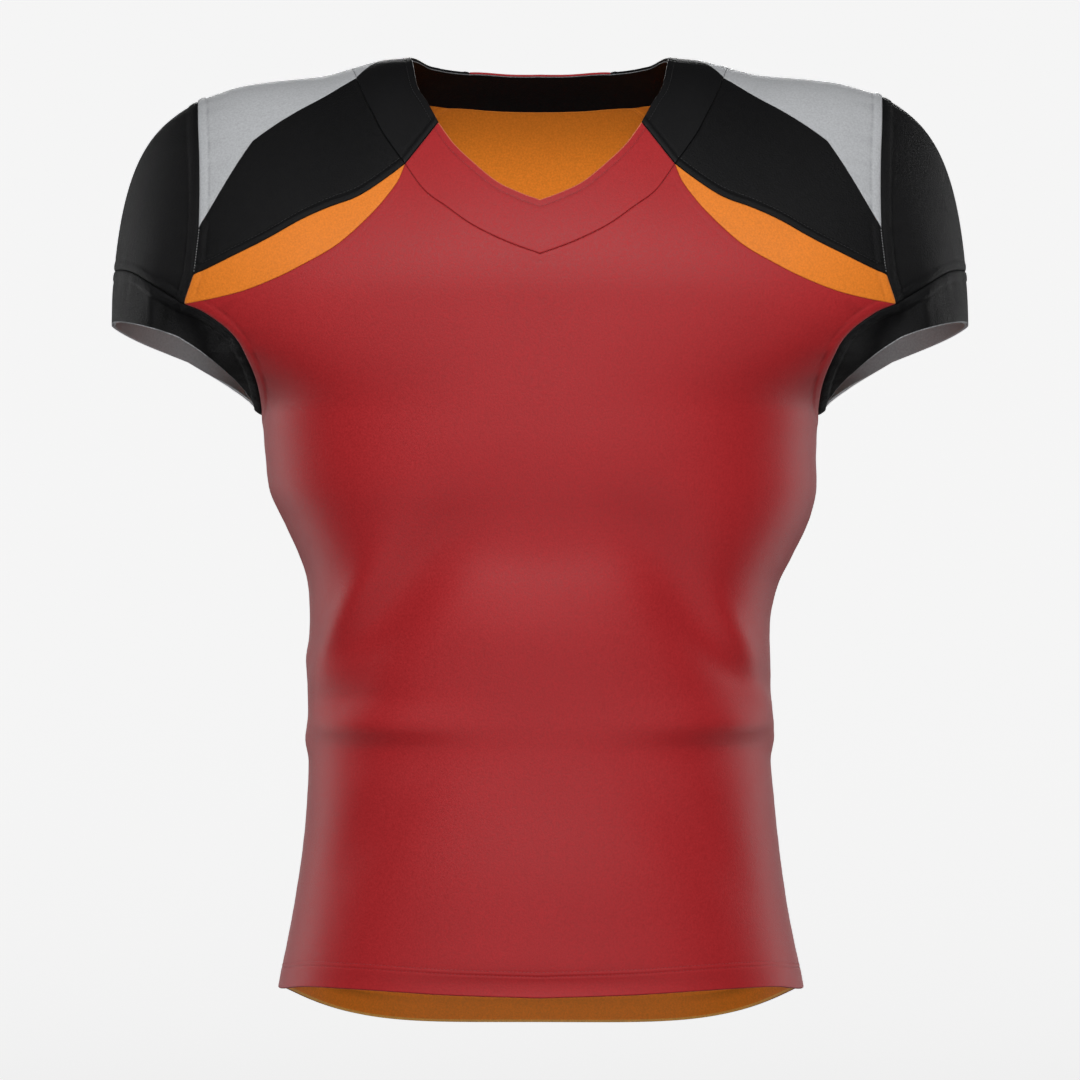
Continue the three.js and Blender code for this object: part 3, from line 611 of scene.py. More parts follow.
def knit_cloth(name, colour, trim_and_highlight, sheen=0.16, shine=0.2, grain=0.1, relief=0.12):
    """Knitted polyester: its colour shifts a little from yarn to yarn and over the panel, is
    darker with painted shade down in the seams and where the piece says, and turns to the trim
    colour where the piece says, which is a second cloth colour on some pieces and a painted
    highlight along a folded edge on others. Loops and fuzz give it a fine relief, and a soft
    sheen shows at grazing angles."""
    material, nodes, links, shader = new_material(name)
    uv = nodes.new("ShaderNodeUVMap")
    uv.uv_map = "cloth"
    place = nodes.new("ShaderNodeTexCoord")
    loops = nodes.new("ShaderNodeGroup")
    loops.node_tree = knit
    links.new(uv.outputs["UV"], loops.inputs["Cloth"])
    loops.inputs["Loops per metre"].default_value = LOOPS_PER_METRE

    def noise(scale, detail):
        node = nodes.new("ShaderNodeTexNoise")
        node.inputs["Scale"].default_value = scale
        node.inputs["Detail"].default_value = detail
        links.new(place.outputs["Object"], node.inputs["Vector"])
        return node.outputs["Fac"]

    def bumped(height, distance, below=None):
        node = nodes.new("ShaderNodeBump")
        node.inputs["Strength"].default_value = relief
        node.inputs["Distance"].default_value = distance
        links.new(height, node.inputs["Height"])
        if below is not None:
            links.new(below, node.inputs["Normal"])
        return node.outputs["Normal"]

    def mixed(low, high, factor, blend="MIX"):
        node = nodes.new("ShaderNodeMix")
        node.data_type = "RGBA"
        node.blend_type = blend
        for socket, value in ((node.inputs[6], low), (node.inputs[7], high)):
            if isinstance(value, tuple):
                socket.default_value = (*value, 1)
            else:
                links.new(value, socket)
        links.new(factor, node.inputs[0])
        return node.outputs[2]

    def ranged(value, low, high, to_low, to_high):
        node = nodes.new("ShaderNodeMapRange")
        for socket, number in (("From Min", low), ("From Max", high),
                               ("To Min", to_low), ("To Max", to_high)):
            node.inputs[socket].default_value = number
        links.new(value, node.inputs["Value"])
        return node.outputs["Result"]

    def dimmed(value, low, factor):
        return mixed(value, (low, low, low), factor, "MULTIPLY")

    def mark(held, full):
        node = nodes.new("ShaderNodeAttribute")
        node.attribute_name = held
        return ranged(node.outputs["Fac"], 0, full, 0, 1)

    fuzz, broad = noise(650, 3), noise(9, 2)
    # Trim colour: a second cloth colour on some pieces, a painted highlight along a folded edge on
    # others.
    coloured = mixed(colour, trim_and_highlight, mark("trim_and_highlight", 0.3))
    yarn = dimmed(coloured, 1 - 2 * grain, ranged(fuzz, 0.3, 0.7, 1, 0))
    shade = dimmed(yarn, 0.95, ranged(broad, 0.35, 0.65, 0, 1))
    gaps = dimmed(shade, 0.9, ranged(loops.outputs["Gaps"], 0.3, 1, 0, 1))
    # Painted shade: the base colour darkens as far as the sunk mark says.
    links.new(dimmed(gaps, 0.4, mark("sunk", 1)), shader.inputs["Base Color"])
    links.new(ranged(fuzz, 0.3, 0.7, 0.44, 0.56), shader.inputs["Roughness"])
    normal = bumped(loops.outputs["Height"], 0.0005, bumped(fuzz, 0.0012))
    links.new(normal, shader.inputs["Normal"])
    shader.inputs["Sheen Weight"].default_value = sheen
    shader.inputs["Sheen Roughness"].default_value = 0.4
    shader.inputs["Specular IOR Level"].default_value = shine
    return material


RED = (0.372, 0.0145, 0.018)
ORANGE = (0.76, 0.21, 0.02)
red_cloth = knit_cloth("red knit", RED, (0.6, 0.15, 0.07))
orange_cloth = knit_cloth("orange knit", ORANGE, (1.0, 0.4, 0.08), shine=0.15)

THREAD_SIDES = 5
STITCH_RINGS = (
    # place along half a stitch, and width as a share of the thread's
    (-0.92, 0.5), (-0.55, 0.95), (0.0, 1.0), (0.55, 0.95), (0.92, 0.5))
STITCH_RISE = 0.35
STITCH_DIVE = 0.3
STITCH_SUNK = 0.12


def stitches(name, path, normals, material, length=2.3, gap=0.7, thick=0.42):
    """Row of short sewing stitches along a path: each is a thread that rises out of the cloth
    and dives back, as rings round a low arch with a point at both ends."""
    run = length_along(path)
    centres = np.arange(length / 2, run[-1] - length / 2, length + gap)
    at = read_off(centres, run, path)
    along_it = unit(read_off(centres + 0.6, run, path) - at)
    up = unit(read_off(centres, run, normals))
    side = unit(np.cross(up, along_it))
    turn = np.arange(THREAD_SIDES) * 2 * np.pi / THREAD_SIDES
    rings = [np.stack([np.full(THREAD_SIDES, part * length / 2), np.cos(turn) * thick / 2 * wide,
                       np.sin(turn) * thick / 2 * wide + thick * STITCH_RISE * (1 - part ** 2)], -1)
             for part, wide in STITCH_RINGS]
    ends = [[-length / 2, 0, -thick * STITCH_DIVE], [length / 2, 0, -thick * STITCH_DIVE]]
    template = np.vstack([*rings, ends])
    first, last = len(template) - 2, len(template) - 1
    end_ring = first - THREAD_SIDES
    pairs = [(k, (k + 1) % THREAD_SIDES) for k in range(THREAD_SIDES)]
    faces = [(ring + a, ring + b, ring + b + THREAD_SIDES, ring + a + THREAD_SIDES)
             for ring in range(0, end_ring, THREAD_SIDES) for a, b in pairs]
    for a, b in pairs:
        faces += [(first, b, a, a), (last, end_ring + a, end_ring + b, end_ring + b)]
    faces = np.array(faces)
    corners = (at[:, None] - up[:, None] * STITCH_SUNK + along_it[:, None] * template[None, :, :1]
               + side[:, None] * template[None, :, 1:2] + up[:, None] * template[None, :, 2:])
    number = (np.arange(len(at)) * len(template))[:, None, None] + faces[None]
    number = number.reshape(-1, 4)
    three = number[:, 2] == number[:, 3]
    mesh = bpy.data.meshes.new(name)
    mesh.from_pydata(corners.reshape(-1, 3) * MM, [],
                     number[~three].tolist() + number[three][:, :3].tolist())
    mesh.materials.append(material)
    mesh.shade_smooth()
    return placed(name, mesh)


def thread(name, colour):
    """Twisted polyester sewing thread, a little shinier than the cloth."""
    material, nodes, links, shader = new_material(name)
    place = nodes.new("ShaderNodeTexCoord")
    twist = nodes.new("ShaderNodeTexNoise")
    twist.inputs["Scale"].default_value = 2600
    links.new(place.outputs["Object"], twist.inputs["Vector"])
    ramp = nodes.new("ShaderNodeMix")
    ramp.data_type = "RGBA"
    ramp.inputs[6].default_value = (*(c * 0.7 for c in colour), 1)
    ramp.inputs[7].default_value = (*(min(c * 1.2, 1) for c in colour), 1)
    links.new(twist.outputs["Fac"], ramp.inputs[0])
    links.new(ramp.outputs[2], shader.inputs["Base Color"])
    bump = nodes.new("ShaderNodeBump")
    bump.inputs["Strength"].default_value = 0.3
    bump.inputs["Distance"].default_value = 0.0002
    links.new(twist.outputs["Fac"], bump.inputs["Height"])
    links.new(bump.outputs["Normal"], shader.inputs["Normal"])
    shader.inputs["Roughness"].default_value = 0.5
    return material


red_thread = thread("red thread", (0.27, 0.02, 0.024))


def hem_run(back):
    """Chart places of the hem from the wearer's right side to the left."""
    angle = np.linspace(np.pi, 0, STEPS["hem"] * DENSE + 1)
    x = np.abs(form_point(angle, np.full(len(angle), SIDE_HEM_Z - CHEST_Z, float))[:, 0])
    half_hem = look_up(SECTIONS, 2, SIDE_HEM_Z)
    tail = BACK_TAIL * (1 - np.minimum(x / half_hem, 1) ** TAIL_POWER)
    way = (SIDE_HEM_Z - tail if back else look_up(FRONT_HEM, 1, x)) - CHEST_Z
    return np.stack([angle * CHART_RADIUS, 2 * ARCH_WAY - way if back else way], -1)


def side_run(side, back):
    """Chart places of the side seam from the hem up to the armpit."""
    way = np.linspace(SIDE_HEM_Z, ARMPIT_Z, STEPS["side"] * DENSE + 1) - CHEST_Z
    angle = np.full(len(way), 0.0 if side == "left" else np.pi)
    return np.stack([angle * CHART_RADIUS, 2 * ARCH_WAY - way if back else way], -1)


underarm = all_round(ARMHOLE_UNDERARM, "underarm")
chest_inset_seam = both_sides(CHEST_INSET_SEAM, False, "seam")
band_front = both_sides(BAND_SEAM_FRONT, False, "neck")

CLOTH = 1.6
HEM_CLOTH = 2.4
HEM_HEIGHT = 20
HEM_ROWS = (16.6, 20.0)
STITCHED_PART = np.s_[8:-8]
HEM_STEP = 0.35
HEM_GROOVE = 0.3
HEM_PARTS = np.linspace(0.0215, 0.0385, 22)
TRUNK_CELLS = STEPS["hem"] * 7
FRONT_CELLS = 27 * 6
FRONT_FALL_OFF = 5
# each seam: width of the turned edge beside it, how far that stands up, puckers and depth
ARMHOLE_BODY_SEAM = (8, 0.6, 0.12, 0.35)
SIDE_SEAM = (5, 0.15, 0.12, 0.3)
CHEST_SEAM = (5, 0.05, 0, 0.05)
V_SEAM = (5, 0.05, 0, 0.13)


def with_hem_rows(heights):
    """Parts of the height of a panel, with more of them where the hem is stitched."""
    return np.unique(np.append(heights, HEM_PARTS))


front_first = joined(side_run("right", False), underarm["right", False][::-1])
front_last = joined(side_run("left", False), underarm["left", False][::-1])
front_places = fill(
    hem_run(False),
    joined(chest_inset_seam["right"][::-1], band_front["right"][::-1], band_front["left"],
           chest_inset_seam["left"]),
    front_first, front_last, parts(TRUNK_CELLS), with_hem_rows(parts(FRONT_CELLS)), FRONT_FALL_OFF)
front_points, front_normals = on_body(front_places)


def seams_relief(points, seams_beside):
    """Height beside several seams, each a run and the numbers that seam_relief takes."""
    return sum(seam_relief(points, on_body(run)[0], *sizes) for run, sizes in seams_beside)


def hem_relief(from_hem):
    """Height of a turned hem: a step up over the fold, and a groove under each row of stitches."""
    step = HEM_STEP * (1 - smooth(from_hem, HEM_HEIGHT - 0.5, HEM_HEIGHT + 1.5))
    return step - sum(HEM_GROOVE * bell(from_hem - row, GROOVE) for row in HEM_ROWS)


def hem_stitches(name, hem, sign):
    """The two rows of stitches of a hem, at their heights above the chart places of its edge."""
    rows = []
    for index, height in enumerate(HEM_ROWS):
        path, up = on_body((hem + np.array([0, sign * height]))[STITCHED_PART])
        rows.append(stitches("%s_hem_stitches_%d" % (name, index + 1), path, up, red_thread))
    return rows


def sewn_in(piece, node, rows=()):
    """A panel and its rows of stitches, attached to the body's root, with the imported part
    for the node that it stands for hidden."""
    for part in [piece, *rows]:
        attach(part, "root")
    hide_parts(node)


from_hem = distance_to(front_points, front_points[0])[0]
front_relief = hem_relief(from_hem) + seams_relief(front_points, [
    beside for side in SIDES for beside in ((underarm[side, False], ARMHOLE_BODY_SEAM),
                                            (side_run(side, False), SIDE_SEAM),
                                            (chest_inset_seam[side], CHEST_SEAM),
                                            (band_front[side], V_SEAM))])
above_hem = smooth(from_hem, HEM_HEIGHT - 1, HEM_HEIGHT + 2)
front_thickness = HEM_CLOTH + (CLOTH - HEM_CLOTH) * above_hem
front = cloth_wall("front_panel", front_points, front_normals, front_relief, front_thickness,
                   front_places, red_cloth, orange_cloth)
sewn_in(front, "front",
        hem_stitches("front", front_places[0], 1))


# Back panel: one piece of the same red knit, sewn to the front at the sides, with a tail that
# drops below it and the same stitched hem. Its orange second layer is a lining of its own,
# which shows through the neck and under the front hem.
LINING_DEPTH = 2.2
LINING_CLOTH = 1.2
LINING_SINK = -0.2
INNER_HEM = 17.5
HEM_LINE_SHADE = 0.5
HEM_LINE_WIDTH = 1.0
# Width of a painted highlight along the lining's hem edge, where its fold catches light.
HEM_EDGE_HIGHLIGHT = 2.2
BAND_SHADE = 0.55
BAND_SHADE_WIDTH = 42
BACK_CELLS = 29 * 6
BACK_SEAM = (5, 0.05, 0, 0.17)
BAND_SEAM_BACK = [(75, -18), (40, -20), (0, -21)]
YOKE_SEAM_BACK = [(75, -18), (110, -44), (150, -72), (190, -102), (232, -134), (273, -162)]
ARMHOLE_CHEST_INSET = [(273, -162), (280, -185)]
# The lining's orange is lighter than the orange knit: partly its own colour, partly painted light for
# the inside, which the lamps reach less. Its trim colour is a painted highlight along its hem edge.
lining_cloth = knit_cloth("orange knit inside", (1.0, 0.29, 0.025), (1.0, 0.52, 0.12), shine=0.15)
band_back = both_sides(BAND_SEAM_BACK, True, "neck")
yoke_seam_back = both_sides(YOKE_SEAM_BACK, True, "seam")
chest_armhole = all_round(ARMHOLE_CHEST_INSET, "chest_inset")
back_armhole = {side: joined(underarm[side, True][::-1], chest_armhole[side, True][::-1])
                for side in SIDES}
back_first, back_last = (joined(side_run(side, True), back_armhole[side]) for side in SIDES)
back_top = joined(yoke_seam_back["right"][::-1], band_back["right"], band_back["left"][::-1],
                  yoke_seam_back["left"])
back_places = fill(hem_run(True), back_top, back_first, back_last, parts(TRUNK_CELLS),
                   with_hem_rows(parts(BACK_CELLS)))
back_points, back_normals = on_body(back_places)
from_hem = distance_to(back_points, back_points[0])[0]
back_seams = seams_relief(back_points, [
    beside for side in SIDES for beside in ((back_armhole[side], ARMHOLE_BODY_SEAM),
                                            (side_run(side, True), SIDE_SEAM),
                                            (yoke_seam_back[side], BACK_SEAM),
                                            (band_back[side], BACK_SEAM))])
back = cloth_wall("back_panel", back_points, back_normals, back_seams + hem_relief(from_hem),
                  CLOTH, back_places, red_cloth, red_cloth)
lining_grid = np.s_[::2, ::2]
lining_points = back_points - back_normals * LINING_DEPTH
lining_points, edge = lining_points[lining_grid], from_hem[lining_grid]


def painted_band_shade(points):
    """How much painted shade darkens the thin lining near the neckband."""
    near = np.minimum(*(distance_to(points, on_body(band_back[side])[0])[0] for side in SIDES))
    return BAND_SHADE * bell(near, BAND_SHADE_WIDTH)


inner_seams = np.maximum(back_seams[lining_grid], LINING_SINK)
# Painted shade on the lining: a dark line a little above its hem, and darkening near the neckband.
painted_hem_shade = HEM_LINE_SHADE * bell(edge - INNER_HEM, HEM_LINE_WIDTH)
lining = cloth_wall("back_lining_panel", lining_points, back_normals[lining_grid], inner_seams,
                    LINING_CLOTH, back_places[lining_grid], lining_cloth, lining_cloth,
                    trim_and_highlight=HEM_EDGE_HIGHLIGHT - edge, shade=painted_hem_shade + painted_band_shade(lining_points))
sewn_in(back, "back",
        hem_stitches("back", back_places[0], -1))
sewn_in(lining, "back_lining")


# Neckband: a wide V band of folded knit sewn to the panels, red in front and behind, black over
# the shoulders, where the grey of the shoulder inset runs on to a point. Its neck edge is
# stitched, shows a hairline of orange at the V, and has a black facing behind it at the back.
BLACK = (0.005, 0.005, 0.0055)
GREY = (0.455, 0.465, 0.48)
black_cloth = knit_cloth("black knit", BLACK, GREY, sheen=0.01, shine=0.11, grain=0.3, relief=0.3)
band_cloth = knit_cloth("black and grey knit", BLACK, GREY, sheen=0.01, shine=0.11)
black_thread = thread("black thread", (0.012, 0.012, 0.013))
BAND_CLOTH = 1.9
FACING_DEPTH = 2.5
NECK_SIDE = [(80, -41), (89, -24), (98, -7), (104, ON_RIDGE)]
NECK_FRONT = [(0, -104), (16, -98), (34, -89), (53, -73), (68, -58), (80, -41)]
NECK_BACK_SIDE = [(104, ON_RIDGE), (92, 13), (81, 10.5), (69, 9), (57, 8.2)]
NECK_BACK = [(57, 8.2), (28, 7), (0, 6.8)]
BAND_SEAM_YOKE = [(106, -75), (123, -51), (132, -34), (139, -20), (146, -3)]
BAND_SEAM_INSET = [(146, -3), (152, ON_RIDGE)]
BAND_SEAM_YOKE_BACK = [(146, -3), (133, -9), (112, -13), (91, -16), (75, -18)]
neck_front = both_sides(NECK_FRONT, False, "neck")
neck_side = both_sides(NECK_SIDE, False, "neck_side")
neck_back_side = both_sides(NECK_BACK_SIDE, True, "neck_side")
neck_back = both_sides(NECK_BACK, True, "neck")
band_yoke = both_sides(BAND_SEAM_YOKE, False, "yoke")
band_inset = all_round(BAND_SEAM_INSET, "inset")
band_yoke_back = both_sides(BAND_SEAM_YOKE_BACK, True, "yoke")


def between(outer, inner, s, t):
    """Chart places from an outer run straight across to an inner one."""
    start, end = along(outer, s)[None], along(inner, s)[None]
    return start + (end - start) * t[:, None, None]


def band_uv(points):
    """Cloth coordinates of a band: its length along the middle, and across from its seam."""
    run = length_along(points[len(points) // 2])
    across = length_along(points[:, points.shape[1] // 2])
    return np.stack(np.broadcast_arrays(run[None, :], across[:, None]), -1)


BAND_CELLS = {"front": 8 * 12, "side": 18 * 6, "back": 8 * 8, "facing": 26 * 5, "across": 14}
band_t = parts(BAND_CELLS["across"])
band_places = {"front": between(joined(band_front["right"][::-1], band_front["left"]),
                                joined(neck_front["right"][::-1], neck_front["left"]),
                                parts(BAND_CELLS["front"]), band_t)}
for side in SIDES:
    outer_run = joined(band_yoke[side], band_inset[side, False], band_inset[side, True][::-1],
                       band_yoke_back[side])
    inner_run = joined(neck_side[side], neck_back_side[side])
    band_places[side] = between(outer_run, inner_run, parts(BAND_CELLS["side"]), band_t)
band_places["back"] = between(joined(band_back["right"], band_back["left"][::-1]),
                              joined(neck_back["right"], neck_back["left"][::-1]),
                              parts(BAND_CELLS["back"]), band_t)
BAND_STITCH = 6.0
BAND_CHANNEL = 0.12
BAND_EDGE_SEAM = (3.5, 0.05, 0, 0.13)
BAND_END_SEAM = {"side": (4.5, 0.5, 0, 0.25), "middle": (4.5, 0, 0, 0.25)}
GREY_TIP = [(146, -3), (121, ON_RIDGE)]
HAIRLINE = 1.05
FACING_HIGHLIGHT_INSET = 0.85


def grey_tip(side, places):
    """How far inside the grey point of the shoulder inset each chart place lies: on the armhole
    side of both lines that run from the ends of its base to the tip on the shoulder ridge."""
    tip = chart_places(GREY_TIP[1:], side, False)[0]
    inside = []
    for back in (False, True):
        base = chart_places(GREY_TIP[:1], side, back)[0]
        ahead = unit(tip - base)
        inside.append((places - base) @ np.array([-ahead[1], ahead[0]]))
    return np.minimum(SIGN[side] * inside[0], -SIGN[side] * inside[1])


def hairline(points, edge):
    """How far inside a narrow strip along an edge each point lies: where the other layer rolls
    over the edge, and on the neck facing a painted highlight of its fold.
    """
    return HAIRLINE - distance_to(points, edge)[0]


for name, places in band_places.items():
    points, normals = on_body(places)
    relief = (seam_relief(points, points[0], *BAND_EDGE_SEAM)
              + stitch_channel(points, points[-1], BAND_STITCH, BAND_CHANNEL))
    ends = BAND_END_SEAM["side" if name in SIDES else "middle"]
    for column in (0, -1):
        relief = relief + seam_relief(points, points[:, column], *ends)
    if name in SIDES:
        trim_and_highlight, cloth, slot, yarn = grey_tip(name, places), band_cloth, "black_cloth", black_thread
    else:
        trim_and_highlight = hairline(points, points[-1]) if name == "front" else None
        cloth, slot, yarn = red_cloth, "red_cloth", red_thread
    piece = cloth_wall("neckband_%s_piece" % name, points, normals, relief, BAND_CLOTH,
                       band_uv(points), cloth, orange_cloth if name == "front" else cloth, trim_and_highlight=trim_and_highlight)
    from_edge = distance_to(points, points[-1])[0][:, points.shape[1] // 2]
    line = np.argmin(np.abs(from_edge - BAND_STITCH))
    row = stitches("neck_stitches_" + name, points[line, 4:-4], normals[line, 4:-4], yarn)
    sewn_in(piece, "neckband_" + name, [row])

facing_outer = joined(band_inset["right", True][::-1], band_yoke_back["right"], band_back["right"],
                      band_back["left"][::-1], band_yoke_back["left"][::-1], band_inset["left", True])
facing_inner = joined(neck_back_side["right"], neck_back["right"], neck_back["left"][::-1],
                      neck_back_side["left"][::-1])
# The grey strip along the facing's neck edge is a painted highlight where its fold catches light; both
# its faces are black knit.
points, normals = on_body(between(facing_outer, facing_inner, parts(BAND_CELLS["facing"]), band_t))
points = points - normals * FACING_DEPTH
facing = cloth_wall("neck_facing_piece", points, normals, np.zeros(points.shape[:2]), LINING_CLOTH,
                    band_uv(points), black_cloth, black_cloth,
                    trim_and_highlight=hairline(points, points[-1]) - FACING_HIGHLIGHT_INSET)
sewn_in(facing, "neck_facing")


# Yokes: black knit in front and behind each shoulder, laid over the orange inset and the red
# panel with a turned edge that is stitched down, and the orange second layer inside the back.
YOKE_SEAM = [(106, -75), (127, -91), (145, -102), (167, -110), (187, -119), (212, -133),
             (232, -143), (257, -155), (273, -162)]
SHOULDER_INSET_EDGE = [(269, -125), (227, -55)]
SHOULDER_INSET_SEAM = [(227, -55), (190, -29.5), (146, -3)]
ARMHOLE_YOKE = [(269, -125), (271, -145), (273, -162)]
grey_thread = thread("grey thread", (0.35, 0.35, 0.36))
yoke_seam = both_sides(YOKE_SEAM, False, "seam")
yoke_armhole = all_round(ARMHOLE_YOKE, "yoke")
inset_edge = all_round(SHOULDER_INSET_EDGE, "inset_edge")
inset_rest = all_round(SHOULDER_INSET_SEAM, "inset_rest")
inset_seam = {key: joined(inset_edge[key], inset_rest[key]) for key in inset_edge}
TURNED_EDGE = 5.5
EDGE_STITCHES_IN = 1.15 * TURNED_EDGE
EDGE_CHANNEL = 0.2
EDGE_STITCHED = np.linspace(0.01, 0.985, 240)
ARMHOLE_STITCHED = np.linspace(0.03, 0.97, 60)
ARMHOLE_STITCHES_IN = 1.3
ARMHOLE_STITCHES_OUT = 0.35
YOKE_EDGE_SEAM = (TURNED_EDGE, 0.6, 0, 0.2)
YOKE_BAND_SEAM = (4, 0.05, 0, 0.2)
INSET_SEAM = (4, 0, 0, 0.06)
YOKE_ARMHOLE_SEAM = (7, 0.5, 0.1, 0.3)
YOKE_LINING_SEAM = (TURNED_EDGE, 0.3, 0, 0.2)
YOKE_CELLS = (8 * 9, 4 * 10)


def edge_stitches(name, lower, sign):
    """Stitches that hold the turned lower edge of a yoke down, a little above its seam."""
    inward = along(lower, EDGE_STITCHED) + np.array([0, sign * EDGE_STITCHES_IN])
    return stitches("yoke_stitches_" + name, *on_body(inward), black_thread)


def armhole_stitches(name, side, armhole):
    """Short grey stitches that show beside the armhole, a little towards the neck from it."""
    beside = along(armhole, ARMHOLE_STITCHED)
    path, up = on_body(beside + np.array([SIGN[side] * ARMHOLE_STITCHES_IN, 0]))
    return stitches("armhole_stitches_" + name, path + up * ARMHOLE_STITCHES_OUT, up, grey_thread,
                    length=1.3, gap=0.9, thick=0.55)


for side in SIDES:
    for face, lower, band_side, sign in (("front", yoke_seam[side], band_yoke[side], 1),
                                         ("back", yoke_seam_back[side], band_yoke_back[side], -1)):
        name = face + "_" + side
        armhole, top = yoke_armhole[side, face == "back"], inset_seam[side, face == "back"]
        places = fill(lower, top[::-1], band_side[::sign], armhole[::-1], *map(parts, YOKE_CELLS))
        points, normals = on_body(places)
        relief = seams_relief(points, ((lower, YOKE_EDGE_SEAM), (band_side, YOKE_BAND_SEAM),
                                       (top, INSET_SEAM), (armhole, YOKE_ARMHOLE_SEAM)))
        relief = relief + stitch_channel(points, on_body(lower)[0], TURNED_EDGE, EDGE_CHANNEL)
        piece = cloth_wall("yoke_%s_panel" % name, points, normals, relief, CLOTH, places,
                           black_cloth, orange_cloth)
        sewn_in(piece, "yoke_" + name,
                [edge_stitches(name, lower, sign), armhole_stitches(name, side, armhole)])
    # the lining lies behind the back yoke, which was made last
    places = places[lining_grid]
    points, normals = on_body(places)
    sunk = seams_relief(points, [(yoke_seam_back[side], YOKE_LINING_SEAM)])
    sunk = np.maximum(sunk, LINING_SINK)
    inner = points + normals * (sunk - LINING_DEPTH)[..., None]
    under = cloth_wall("yoke_lining_%s_panel" % side, inner, normals, sunk * 0, LINING_CLOTH,
                       places, lining_cloth, lining_cloth, shade=painted_band_shade(points))
    sewn_in(under, "yoke_lining_" + side)


# Shoulder insets: a wedge of grey knit folded over the top of each shoulder and sewn between
# neckband, yokes and sleeve, with a long point down the armhole in front and behind.
ARMHOLE_INSET = [(274, ON_RIDGE), (272, -39), (270, -67), (269, -96), (269, -125)]
INSET_CELLS = (8 * 8, 10 * 7)
INSET_ARMHOLE_SEAM = (7, 0.45, 0.1, 0.3)
INSET_BAND_SEAM = (4, 0.05, 0, 0.12)
grey_cloth = knit_cloth("grey knit", GREY, (0.6, 0.6, 0.62))
inset_armhole = all_round(ARMHOLE_INSET, "inset")
for side in SIDES:
    places = fill(inset_seam[side, False], inset_seam[side, True],
                  joined(inset_armhole[side, False][::-1], inset_armhole[side, True]),
                  joined(band_inset[side, False], band_inset[side, True][::-1]),
                  *map(parts, INSET_CELLS))
    points, normals = on_body(places)
    relief = seams_relief(points, [
        (run[side, back], sizes) for back in (False, True)
        for run, sizes in ((inset_seam, INSET_SEAM), (inset_armhole, INSET_ARMHOLE_SEAM),
                           (band_inset, INSET_BAND_SEAM))])
    piece = cloth_wall("shoulder_inset_%s_panel" % side, points, normals, relief, CLOTH, places,
                       grey_cloth, orange_cloth)
    sewn_in(piece, "shoulder_inset_" + side)


# Chest insets: a curved blade of orange knit, cut to widen from a point at the neckband to the
# armhole, and sewn to the front panel below and under the turned edge of the yoke above.
CHEST_CELLS = (8 * 10, 2 * 7)
CHEST_LOWER_SEAM = (4, 0.05, 0, 0.05)
CHEST_UPPER_SEAM = (4, 0, 0, 0.15)
for side in SIDES:
    tip = np.repeat(yoke_seam[side][:1], 3, axis=0)
    places = fill(chest_inset_seam[side], yoke_seam[side], tip, chest_armhole[side, False][::-1],
                  *map(parts, CHEST_CELLS))
    points, normals = on_body(places)
    relief = seams_relief(points, ((chest_inset_seam[side], CHEST_LOWER_SEAM),
                                   (yoke_seam[side], CHEST_UPPER_SEAM),
                                   (chest_armhole[side, False], INSET_ARMHOLE_SEAM)))
    piece = cloth_wall("chest_inset_%s_panel" % side, points, normals, relief, CLOTH, places,
                       orange_cloth, orange_cloth)
    sewn_in(piece, "chest_inset_" + side)


# Sleeves: a cap of black knit set into the armhole over the shoulder, and a shaped black cuff
# sewn to it that goes on round the underarm, with a grey lining that shows in the opening.
OPENING_OUTER = (342.5, -200)
OPENING_INNER = (229, -265.5)
OPENING_HALF_DEPTH = 75
OPENING_ARCH = {"front": 22, "back": 6.4}
OPENING_SAG = 10
CUFF_SEAM = np.array([(280, -185), (285, -182), (303, -171), (312, -165), (322, -159), (332, -156),
                      (345, -156)], float)
CAP_SWELL = 0.6
CUFF_DROP = 2.2
CUFF_FLARE = 0.05
CUFF_FOLDS = {
    # degrees round from the top towards the front, half width, place and half length down, height
    "right": [(14, 8, 0.45, 0.35, 0.8), (32, 9, 0.6, 0.35, -1.1), (54, 10, 0.5, 0.45, 1.0),
              (76, 10, 0.6, 0.4, -0.8), (118, 10, 0.6, 0.4, 0.9), (318, 9, 0.5, 0.4, 1.1),
              (296, 10, 0.6, 0.4, -1.0)],
    "left": [(18, 8, 0.5, 0.4, 0.9), (36, 9, 0.55, 0.35, -1.2), (58, 10, 0.45, 0.4, 0.9),
             (122, 10, 0.6, 0.4, 0.9), (325, 9, 0.5, 0.45, 1.0), (304, 9, 0.6, 0.4, -1.0)],
}
CORNER = STEPS["inset"] + STEPS["yoke"] + STEPS["chest_inset"]
ARMPIT = CORNER + STEPS["underarm"]
FINE = 6
CAP_ARMHOLE_SEAM = (8, 0.6, 0.15, 0.35)
CAP_CUFF_SEAM = (6.5, 0.45, 0.12, 0.35)
CUFF_TOP_SEAM = (7.5, 0.6, 0.4, 0.35)
CAP_CELLS = 44
CUFF_CELLS = 24
ROUND_STEP = 3.2
SLEEVE_LENGTH = 190
CUFF_LINING_DEPTH = CLOTH + 0.3


